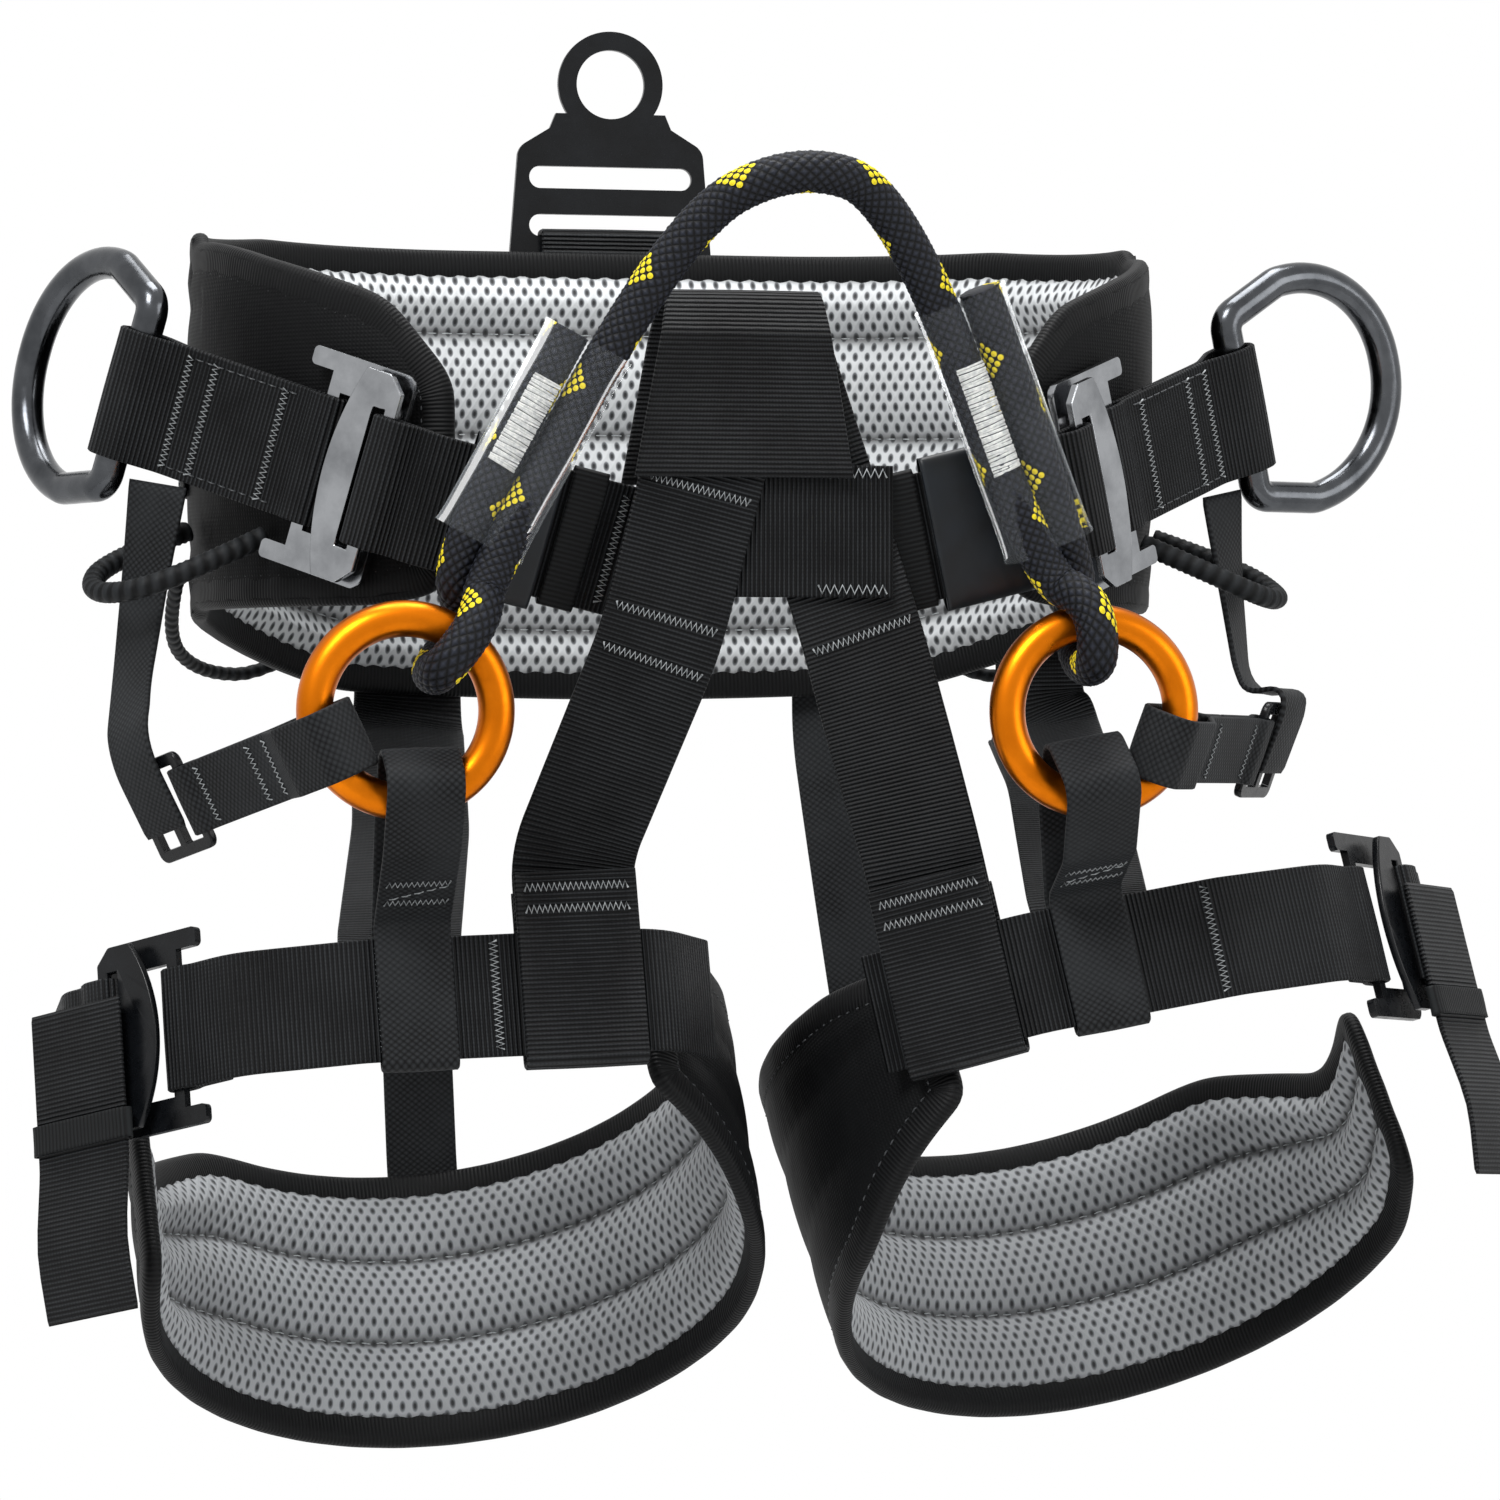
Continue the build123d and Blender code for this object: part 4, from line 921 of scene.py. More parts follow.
def bar_tack(ribbon, run, half, face=1, tall=2.8):
    """One dense zigzag of thread across a strap, one stitch to the millimetre."""
    lift = face * (ribbon.thickness / 2 + 0.15)
    steps = int(2 * half)
    line = []
    for k in range(steps + 1):
        v = -half + 2 * half * (k / steps)
        u = run + (tall / 2 if k % 2 else -tall / 2)
        line.append(ribbon.at(u, v, lift))
    return line


def seam(ribbon, corners, face=1):
    """A row of lock stitches through the corners, given as (run, across)."""
    stitch, gap = 3.2, 1.1
    lift = face * (ribbon.thickness / 2 + 0.05)
    rows = []
    for (u0, v0), (u1, v1) in zip(corners, corners[1:]):
        length = math.hypot(u1 - u0, v1 - v0)
        count = max(1, int(length / (stitch + gap)))
        for k in range(count):
            a = k / count
            b = (k + stitch / (stitch + gap)) / count
            ends = [(u0 + (u1 - u0) * t, v0 + (v1 - v0) * t) for t in (a, (a + b) / 2, b)]
            rows.append([ribbon.at(u, v, lift + face * (0.22 if j == 1 else -0.15))
                         for j, (u, v) in enumerate(ends)])
    return rows


def nurbs_points(name, points):
    """Points read from a NURBS spline through a route's control points, in millimetres."""
    curve = bpy.data.curves.new(name, "CURVE")
    curve.dimensions = "3D"
    spline = curve.splines.new("NURBS")
    spline.points.add(len(points) - 1)
    for target, point in zip(spline.points, points):
        target.co = (*(Vector(point) * MM), 1.0)
    spline.order_u = 3
    spline.use_endpoint_u = True
    spline.resolution_u = 24
    curve.resolution_u = 24
    carrier = bpy.data.objects.new(name, curve)
    mesh = bpy.data.meshes.new_from_object(carrier)
    found = [v.co / MM for v in mesh.vertices]
    bpy.data.objects.remove(carrier)
    bpy.data.meshes.remove(mesh)
    bpy.data.curves.remove(curve)
    return found


def round_cord(name, line, radius, key, sides, shape):
    """Tube with metre UVs along it and turns round it; shape(run, turn) adds to the radius."""
    tangent = (line[1] - line[0]).normalized()
    normal = tangent.orthogonal().normalized()
    run = 0.0
    rings = []
    ring_uvs = []
    for i, point in enumerate(line):
        ahead = (line[min(i + 1, len(line) - 1)] - line[max(i - 1, 0)]).normalized()
        normal = tangent.rotation_difference(ahead) @ normal
        tangent = ahead
        normal = (normal - tangent * normal.dot(tangent)).normalized()
        other = tangent.cross(normal)
        if i:
            run += (point - line[i - 1]).length
        ring = []
        for k in range(sides):
            turn = k / sides
            reach = radius + shape(run, turn)
            angle = 2 * math.pi * turn
            ring.append(point + (normal * math.cos(angle) + other * math.sin(angle)) * reach)
        rings.append(ring)
        ring_uvs.append([(run * MM, k / sides) for k in range(sides + 1)])
    return loft_rings(name, rings, ring_uvs, [key])


def respaced(line, step):
    """The same polyline with even spacing."""
    runs = [0.0]
    for a, b in zip(line, line[1:]):
        runs.append(runs[-1] + (b - a).length)
    count = max(2, round(runs[-1] / step))
    made = []
    i = 0
    for k in range(count + 1):
        run = runs[-1] * k / count
        while i < len(runs) - 2 and runs[i + 1] < run:
            i += 1
        span = runs[i + 1] - runs[i]
        made.append(line[i].lerp(line[i + 1], (run - runs[i]) / span if span else 0.0))
    return made


# ---------------------------------------------------------------- places on the saddle
def ring_point(side, angle, y=0.0, out=0.0):
    """A point on a bridge ring's tube centre line; out moves it away from the ring's middle."""
    turn = math.radians(angle)
    reach = RING_MAJOR + out
    return RING_AT[side] + Vector((-side * reach * math.cos(turn), y, reach * math.sin(turn)))


def pad_point(side, angle, out, z):
    """A point outside the waist pad: angle from straight sideways, + to the back."""
    turn = math.radians(angle)
    reach = WAIST_OUTER_R + out
    return Vector((side * (WAIST_HALF + reach * math.cos(turn)), reach * math.sin(turn), z))


def leg_plane(side, tilt):
    """X to the right, Y to the back and down, Z up the leg."""
    roll = math.radians(LEG_ROLL[side])
    tilt = math.radians(tilt)
    across = Vector((math.cos(roll), 0, math.sin(roll)))
    up = Vector((-math.sin(roll), 0, math.cos(roll)))
    rear = Vector((0, math.cos(tilt), 0)) - up * math.sin(tilt)
    return Plane(LEG_FRONT[side], across, across.cross(rear))


def pad_plane(side):
    """The leg pad's own axes: its origin is on the thigh's centre line."""
    plane = leg_plane(side, LEG_TILT)
    return Plane(plane.at(0, LEG_R) - Vector((0, 0, PAD_DROP[side])), plane.x_dir, plane.z_dir)


def side_frame(side):
    """Plane at the D-ring bar: X runs to the buckle and Y faces outward."""
    back, drop = math.radians(SIDE_SWEEP), math.radians(SIDE_DROP)
    run = (-side * math.cos(back) * math.cos(drop), -math.sin(back) * math.cos(drop),
           -math.sin(drop))
    outward = (side * math.sin(back), -math.cos(back), 0)
    return strap_plane((side * DEE_BAR_AT[0], DEE_BAR_AT[1], DEE_BAR_AT[2]), run, outward)


def facing_front(x, y, z, lean=0.0):
    """Plane of a strap whose face looks to the front: X runs down the strap."""
    lean = math.radians(lean)
    return strap_plane((x, y, z), (math.sin(lean), 0, -math.cos(lean)), (0, -1, 0))


def seen_from(plane, other, x, y):
    """A point given in one plane, as x and y of another."""
    point = plane.local(other.at(x, y))
    return (point.x, point.y)


def leg_buckle_plane(side, band):
    """Plane of a leg buckle on its band's plane, and the direction it faces."""
    turn = math.radians(LEG_BUCKLE_TURN)
    run = band.x_dir * (side * math.cos(turn)) + band.y_dir * math.sin(turn)
    outward = band.x_dir * (side * math.sin(turn)) - band.y_dir * math.cos(turn)
    return strap_plane(band.at(side * LEG_BUCKLE_AT[0], LEG_BUCKLE_AT[1]), run, outward), outward


def ring_side_plane(side):
    """Plane of the strap from a ring to its slide buckle, and the distance between them."""
    start = ring_point(side, RING_SIDE_ANGLE)
    tangent = ring_point(side, RING_SIDE_ANGLE - 90) - RING_AT[side]
    run = Vector(SLIDE_AT[side]) - start
    return strap_plane(start, run, tangent.cross(run) * -side), run.length


# ---------------------------------------------------------------- straps
def waist_straps(tag, side):
    """Side loop, front belt, its sleeve and keeper."""
    frame = side_frame(side)
    joint = 58.0
    loop = planar_strap(frame, [
        (joint, -LAYER), (20, -LAYER), (5, -DEE_FOLD), (-DEE_FOLD, -DEE_FOLD),
        (-DEE_FOLD, DEE_FOLD), (5, DEE_FOLD), (20, LAYER), (SIDE_LOOP_L - 9, LAYER),
        (SIDE_LOOP_L - 5, FRAME_FOLD), (SIDE_LOOP_L + BAR_FOLD, FRAME_FOLD),
        (SIDE_LOOP_L + BAR_FOLD, -FRAME_FOLD), (SIDE_LOOP_L - 5, -FRAME_FOLD),
        (SIDE_LOOP_L - 9, -LAYER), (joint + GAP, -LAYER)], BELT_W)
    strap(f"side_loop_{tag}", loop, "ribbed", "webbing")
    tongue = frame.shifted(SIDE_LOOP_L).shifted(TONGUE_BAR_X, TONGUE_LIFT)
    across = tongue.shifted(22, BELT_Y, turn=-SIDE_SWEEP)
    end = tongue.local(across.at(86, 0))
    belt = planar_strap(tongue, [
        (17, -TONGUE_FOLD), (SLOT_X, -TONGUE_FOLD), (SLOT_X, TONGUE_FOLD), (7, TONGUE_FOLD),
        (12, BELT_Y), (22, BELT_Y), (end.x, end.y)], BELT_W, largest=26.0)
    strap(f"front_belt_{tag}", belt, "ribbed", "webbing")
    flat_sleeve(f"belt_sleeve_{tag}", across, 12, 46, 58, 7, "sleeve", "navy_sleeve")
    flat_sleeve(f"belt_keeper_{tag}", across, 49, 62, 52, 6, "elastic", "elastic_keeper",
                "belt_keepers")
    rows = [bar_tack(loop, loop.nearest(frame.at(x, LAYER)), BELT_TACK) for x in (23, 34, 66)]
    rows += [bar_tack(loop, loop.nearest(frame.at(x, -LAYER)), BELT_TACK) for x in (23, 34)]
    rows += [bar_tack(belt, belt.nearest(across.at(x, 0)), 20) for x in (70, 80)]
    thread_mesh(f"waist_tacks_{tag}", rows, TACK_THREAD, "thread")
    edge = [seam(loop, [(loop.nearest(frame.at(24, LAYER)), v),
                        (loop.nearest(frame.at(72, LAYER)), v)]) for v in (-EDGE_SEAM, EDGE_SEAM)]
    thread_mesh(f"waist_edge_stitch_{tag}", sum(edge, []), SEAM_THREAD, "dark_thread")


def flat_sleeve(name, plane, start, end, outer_w, outer_t, key, slot_name, *nodes):
    """A soft flat tube round a strap that runs along the plane's X, with rolled ends."""
    rings = []
    ring_uvs = []
    half_w, half_t = outer_w / 2, outer_t / 2
    profile = []
    for k in range(40):
        turn = 2 * math.pi * k / 40
        c, s = math.cos(turn), math.sin(turn)
        profile.append((math.copysign(abs(c) ** 0.22, c) * half_w,
                        math.copysign(abs(s) ** 0.75, s) * half_t))
    length = end - start
    steps = max(10, int(length / 1.6))
    spots = [(0.0, 0.72), (0.0, 0.95)] + [
        (length * k / steps, 1.0) for k in range(steps + 1)] + [(length, 0.95), (length, 0.72)]
    for run, grow in spots:
        pucker = 0.35 * math.sin(run / 2.3) * math.exp(-min(run, length - run) / 5)
        ring = []
        for w, t in profile:
            ripple = 0.22 * math.sin(w / 4.5 + run / 9) * (1 if abs(t) > half_t * 0.5 else 0)
            ring.append(plane.at(start + run, (t * grow) + math.copysign(ripple + pucker, t) * 0.5
                                 - math.copysign(0.3, t), w * (0.985 + 0.015 * grow)))
        rings.append(ring)
        row = [((start + run) * MM, w * MM) for w, t in profile]
        ring_uvs.append(row + [row[0]])
    obj = loft_rings(name + "_cloth", rings, ring_uvs, [key], caps=False)
    settle(obj, slot_name, *(nodes or [name]))
    return obj


def front_straps():
    """Centre belt, folded ventral loop and their stitching."""
    middle = Plane((7, CENTRE_BELT_Y, -31), (1, 0, 0), (0, 0, -1))
    belt = planar_strap(middle, [(-47, 0), (47, 0)], BELT_W)
    strap("centre_belt", belt, "ribbed", "webbing")
    rows = [[belt.at(66 + 1.5 * k, edge + (1.6 if k % 2 else -1.6), 1.4) for k in range(18)]
            for edge in (-BELT_TACK, BELT_TACK)]
    thread_mesh("centre_belt_tacks", rows, TACK_THREAD, "thread")
    fold = Plane((0, 0, 0), (0, 1, 0), (1, 0, 0))
    width = 90
    loop = planar_strap(fold, [
        (VENTRAL_BACK_Y, -14), (VENTRAL_BACK_Y, 40), (VENTRAL_BACK_Y - 5, 55),
        (VENTRAL_FRONT_Y + 5, 55), (VENTRAL_FRONT_Y, 40), (VENTRAL_FRONT_Y, -12)],
        width, largest=8.0)
    obj = loop.build("ventral_loop_woven", "ribbed")
    # the folded strap narrows towards its top
    for vertex in obj.data.vertices:
        z = vertex.co.z / MM
        t = min(max((z + 16) / 74, 0), 1)
        low, high = -43 + 14 * t, 39 - 12 * t
        x = vertex.co.x / MM
        vertex.co.x = (low + (x + width / 2) / width * (high - low)) * MM
    settle(obj, "webbing", "ventral_loop")


def leg_straps(tag, side):
    """Band, outer webbing, tail, yoke strap and its foot, and their tacks."""
    band_axes = leg_plane(side, BAND_TILT)
    buckle, outward = leg_buckle_plane(side, band_axes)
    tongue = buckle.shifted(TONGUE_BAR_X, TONGUE_LIFT)
    bar_path = [seen_from(band_axes, buckle, x, y) for x, y in (
        (-9, LAYER), (-5, FRAME_FOLD), (BAR_FOLD, FRAME_FOLD), (BAR_FOLD, -FRAME_FOLD),
        (-5, -FRAME_FOLD), (-9, -LAYER), (-24, -LAYER))]
    band = planar_strap(band_axes, [
        (-side * BAND_END[0], BAND_END[1]), (-side * BAND_KNEE[side], BAND_RUN_Y),
        (side * 40, BAND_RUN_Y),
        seen_from(band_axes, buckle, -30, LAYER)] + bar_path, STRAP_W, largest=30.0)
    strap(f"leg_band_{tag}", band, "ribbed", "webbing")
    # past the tongue the webbing bends in by 40 degrees, for 48 mm
    bend = math.radians(40)
    outer = planar_strap(tongue, [
        (12, -TONGUE_FOLD), (SLOT_X, -TONGUE_FOLD), (SLOT_X, TONGUE_FOLD), (7, TONGUE_FOLD),
        (12, BELT_Y), (22, BELT_Y), (22 + 48 * math.cos(bend), BELT_Y - 48 * math.sin(bend))],
        STRAP_W, largest=20.0)
    strap(f"leg_side_webbing_{tag}", outer, "ribbed", "webbing")
    tail_axes = strap_plane(tongue.at(9, TONGUE_FOLD + WEB_T + GAP), -band_axes.z_dir, outward)
    tail = planar_strap(tail_axes, [(-14, 0), (44, 0), (74, 4), (100, 0)], STRAP_W, largest=60.0)
    strap(f"leg_tail_{tag}", tail, "ribbed", "webbing")
    flat_sleeve(f"leg_keeper_{tag}", tail_axes, 27, 38, 49, 6, "elastic", "elastic_keeper",
                "leg_tail_keepers")

    (inner, outer_end) = FOOT_SPAN[side]
    inner = band_axes.at(-side * inner[0], inner[1])
    outer_end = band_axes.at(-side * outer_end[0], outer_end[1])
    foot = strap_plane((inner + outer_end) * 0.5, -band_axes.z_dir,
                       (outer_end - inner).cross(band_axes.z_dir) * side)
    top_x, top_z = YOKE_TOP[side]
    low = foot.at(-26, 0)
    yoke_axes = facing_front(top_x, YOKE_Y[side], top_z,
                             math.degrees(math.atan2(low.x - top_x, top_z - low.z)))
    yoke = twisting_strap(
        [(yoke_axes.at(x, 0), yoke_axes.z_dir) for x in (0, 104)]
        + [(foot.at(x, 0), foot.z_dir) for x in (-50, -28)], STRAP_W)
    strap(f"yoke_strap_{tag}", yoke, "ribbed", "webbing")
    half = STRAP_W / 2 + FOOT_HALF
    wrap = planar_strap(foot, [
        (-38, -FOOT_HALF), (half, -FOOT_HALF), (half, FOOT_HALF), (-44, FOOT_HALF)],
        STRAP_W, largest=3.0)
    strap(f"yoke_foot_{tag}", wrap, "ribbed", "webbing")

    front = -1 if band.faces[len(band.faces) // 4].y > 0 else 1
    rows = []
    for x in (-side * 8, side * 34):
        run = band.nearest(band_axes.at(x, BAND_RUN_Y))
        rows.append(bar_tack(band, run, 20, face=front))
    face = 1 if yoke.faces[2].y < 0 else -1
    tops = {-1: (48, 96, 112), 1: (62, 108)}[side]
    rows += [bar_tack(yoke, run, STRAP_TACK, face=face) for run in tops]
    wrap_face = 1 if wrap.faces[-2].y < 0 else -1
    end = wrap.runs[-1]
    rows += [bar_tack(wrap, end - run, STRAP_TACK, face=wrap_face) for run in (6, 14)]
    outward_face = 1 if outer.faces[-1].dot(outward) > 0 else -1
    rows += [bar_tack(outer, outer.runs[-1] - run, STRAP_TACK, face=outward_face) for run in (9, 17)]
    thread_mesh(f"leg_tacks_{tag}", rows, TACK_THREAD, "thread")


def ring_straps(tag, side):
    """Short strap to the leg band, strap to the hip and the drop strap."""
    band_axes = leg_plane(side, BAND_TILT)
    tube_at = ring_point(side, RING_LEG_ANGLE[side])
    level = band_axes.local(tube_at)
    short = strap_plane(band_axes.at(level.x, BAND_RUN_Y), -band_axes.z_dir, -band_axes.y_dir)
    to_tube = strap_plane(tube_at, short.at(-26, 0) - tube_at, -band_axes.y_dir)
    reach, half = HUNG_REACH[side], HUNG_HALF[side]
    low = STRAP_W / 2 + WRAP_HALF
    hung = planar_strap(short, [
        (14, -WRAP_HALF), (-26, -WRAP_HALF), seen_from(short, to_tube, 14, -half),
        seen_from(short, to_tube, -reach, -half), seen_from(short, to_tube, -reach, half),
        seen_from(short, to_tube, 14, half), (-26, WRAP_HALF), (low, WRAP_HALF),
        (low, -WRAP_HALF), (14 + GAP, -WRAP_HALF)], LIGHT_W, largest=8.0)
    strap(f"ring_leg_strap_{tag}", hung, "plain", "plain_webbing")

    side_axes, length = ring_side_plane(side)
    far = length - (SLIDE_L - SLIDE_RAIL) / 2
    to_hip = planar_strap(side_axes, [
        (44, -LAYER), (26, -LAYER), (11, -11.6), (-14.2, -11.6), (-14.2, 8.4), (11, 8.4),
        (26, LAYER), (far - 9, LAYER), (far - 5, SLIDE_FOLD), (far + SLIDE_REACH, SLIDE_FOLD),
        (far + SLIDE_REACH, -SLIDE_FOLD), (far - 5, -SLIDE_FOLD), (far - 9, -LAYER),
        (44 + GAP, -LAYER)], 26, largest=7.0)
    strap(f"ring_side_strap_{tag}", to_hip, "plain", "plain_webbing")

    slide = side_axes.shifted(length)
    hip = side_frame(side)
    drop = twisting_strap([
        (hip.at(22, 0, -side * (BELT_W / 2 + 3.6)), hip.x_dir),
        ((side * 207, -50, -42), (-side * 0.6, -0.8, 0)),
        ((side * 213, -50, -88), (-side * 0.42, -0.9, 0)),
        (slide.at(3.5, DROP_OUT + 1, -side * 26), -slide.x_dir),
        (slide.at(3.5, DROP_OUT, side * 8), -slide.x_dir)], 25)
    strap(f"drop_strap_{tag}", drop, "plain", "plain_webbing")

    rows = []
    corner = hung.nearest(short.at(-26, WRAP_HALF))
    for back in (14, 24):
        rows.append(bar_tack(hung, corner - back, 11.5, tall=2.6))
    for x in (27, 37):
        run = to_hip.nearest(side_axes.at(x, LAYER))
        rows.append(bar_tack(to_hip, run, 10.5, face=1, tall=2.6))
    run = to_hip.nearest(side_axes.at(far - 12, LAYER))
    rows.append(bar_tack(to_hip, run, 10.5, face=1, tall=2.6))
    thread_mesh(f"ring_strap_tacks_{tag}", rows, LIGHT_THREAD, "thread")
    crossed = seam(hung, [(corner - 22.5, -11), (corner - 15.5, 11)])
    thread_mesh(f"ring_strap_cross_{tag}", crossed, 0.26, "thread")


def risers(tag, side):
    """Straps from the back of the waist pad to the band and to the leg pad."""
    band_axes = leg_plane(side, BAND_TILT)
    pad_axes = pad_plane(side)
    turn = math.radians(RISER_AT[side])
    round_pad = Vector((-side * math.sin(turn), math.cos(turn), 0))
    foot = RISER_FOOT[side]
    wide = twisting_strap([
        (pad_point(side, RISER_AT[side], RISER_OUT[side], -22), round_pad),
        (pad_point(side, RISER_AT[side], RISER_OUT[side], -98), round_pad),
        (WIDE_MID[side], (-side, 0, 0)),
        (band_axes.at(foot, 13, 24), -side * band_axes.x_dir),
        (band_axes.at(foot, 4, 8), -side * band_axes.x_dir),
        (band_axes.at(foot, 4, -15), -side * band_axes.x_dir)], STRAP_W)
    strap(f"wide_riser_{tag}", wide, "ribbed", "webbing")
    sweep_in = math.radians(NARROW_AT[side])
    seat = LEG_R + WEB_T / 2 + 2 * GAP
    lie = pad_axes.x_dir * math.cos(sweep_in) - pad_axes.y_dir * math.sin(sweep_in)
    turn = math.radians(NARROW_TOP[side])
    round_pad = Vector((-side * math.sin(turn), math.cos(turn), 0))
    narrow = twisting_strap([
        (pad_point(side, NARROW_TOP[side], NARROW_OUT[side], -46), round_pad),
        (pad_point(side, NARROW_TOP[side], NARROW_OUT[side], -104), round_pad)] + [
        (pad_axes.at(seat * math.sin(sweep_in), seat * math.cos(sweep_in), z), -side * lie)
        for z in (60, 24)], LIGHT_W)
    strap(f"narrow_riser_{tag}", narrow, "plain", "plain_webbing")
    rows = []
    for ribbon, half in ((wide, STRAP_TACK), (narrow, LIGHT_TACK)):
        face = 1 if ribbon.faces[0].y > 0 else -1
        rows += [bar_tack(ribbon, run, half, face=face) for run in (8, 30)]
        rows += [bar_tack(ribbon, ribbon.runs[-1] - run, half, face=face) for run in (6, 26)]
    thread_mesh(f"riser_tacks_{tag}", rows, 0.34, "thread")


def rear_straps():
    """Waist webbing round the outside of the pad and the loop that holds the rear plate."""
    out, height, steps = GAP + WEB_T / 2, 10, 40
    centres = [pad_point(1, 2 * k, out, height) for k in range(46)]
    centres += [Vector((WAIST_HALF - WAIST_STRAIGHT * k / steps, WAIST_OUTER_R + out, height))
                for k in range(1, steps)]
    centres += [pad_point(-1, 90 - 2 * k, out, height) for k in range(46)]
    around = Ribbon(centres, [Vector((0, 0, -1))] * len(centres), BELT_W)
    strap("waist_webbing", around, "ribbed", "webbing")
    face = 1 if around.faces[60].y > 0 else -1
    total = around.runs[-1]
    rows = [bar_tack(around, run, BELT_TACK, face=face)
            for run in (12, 24, total * 0.36, total * 0.40, total * 0.60, total * 0.64,
                        total - 24, total - 12)]
    thread_mesh("rear_tacks", rows, TACK_THREAD, "thread")
    edge = [seam(around, [(4, v), (total - 4, v)], face=face) for v in (-EDGE_SEAM, EDGE_SEAM)]
    thread_mesh("rear_edge_stitch", sum(edge, []), SEAM_THREAD, "dark_thread")

    # the plate's lower bar starts 84 mm up and is 14 mm tall; the loop keeps 4.1 mm to its middle
    room = 4.1
    half = room + WEB_T / 2
    plate_y = WAIST_OUTER_R + GAP + WEB_T + room
    top = 84 + 14 + FREE + WEB_T / 2
    axes = Plane((0, plate_y, 0), (0, 1, 0), (1, 0, 0))
    loop = planar_strap(axes, [
        (-half, 36), (-half, top), (half, top), (half, 66), (-half + PITCH, 50),
        (-half + PITCH, 36)], 58, largest=2.0)
    strap("rear_plate_loop", loop, "ribbed", "webbing")
    end = loop.runs[-1]
    rows = [bar_tack(loop, end - run, 26, face=1) for run in (5, 12)]
    rows += [bar_tack(loop, end - run, 26, face=-1) for run in (5, 12)]
    thread_mesh("rear_loop_tacks", rows, TACK_THREAD, "thread")


# ---------------------------------------------------------------- pads
def side_limits(outline, x):
    """Lowest and highest point of a closed outline at one place."""
    found = []
    for a, b in zip(outline, outline[1:] + outline[:1]):
        if (a.x - x) * (b.x - x) <= 0 and abs(a.x - b.x) > 1e-9:
            found.append(a.y + (b.y - a.y) * (x - a.x) / (b.x - a.x))
    return (min(found), max(found)) if found else (0.0, 0.0)


def waist_outline():
    """Side outline of the pad forward of the hips."""
    half = WAIST_HALF + WAIST_OUTER_R + 1
    tip = WING_TIP_X
    points = [(half, PAD_TOP - 6), (162, PAD_TOP - 20), (tip + 22, PAD_TOP - 36),
              (tip, PAD_TOP - 66), (tip, WING_BOTTOM + 4), (tip + 26, WING_BOTTOM),
              (half, WING_BOTTOM)]
    return rounded(points, [30, 24, 20, 12, 20], step=1.5)


def waist_limits(x, front, wing):
    """Lower and upper edge of the waist pad at x, in front of or behind the hips."""
    half = WAIST_HALF + WAIST_OUTER_R + 1
    if front:
        return side_limits(wing, min(max(abs(x), WING_TIP_X + 0.3), half - 0.2))
    top = PAD_TOP if abs(x) < half - 40 else PAD_TOP - 6 * (abs(x) - half + 40) / 40
    # smooth curve through the four heights of the lower edge
    t = abs(x) / half
    low = PAD_BOTTOM + 3 * (t / 0.588) ** 2 if t < 0.588 else (
        PAD_BOTTOM + 3 + 29 * ((t - 0.588) / 0.412) ** 1.35)
    return low, top


def pillow(z, low, high, seams):
    """Rise of the padding, 0 on edges and seams and 1 between, and the distance to the nearest."""
    near = min([abs(z - s) for s in seams if low + SEAM_CLEAR < s < high - SEAM_CLEAR]
               + [z - low - EDGE_FLAT, high - EDGE_FLAT - z])
    near = max(near, 0.0)
    return 1 - math.exp(-(near / QUILT_RISE) ** 1.5), near


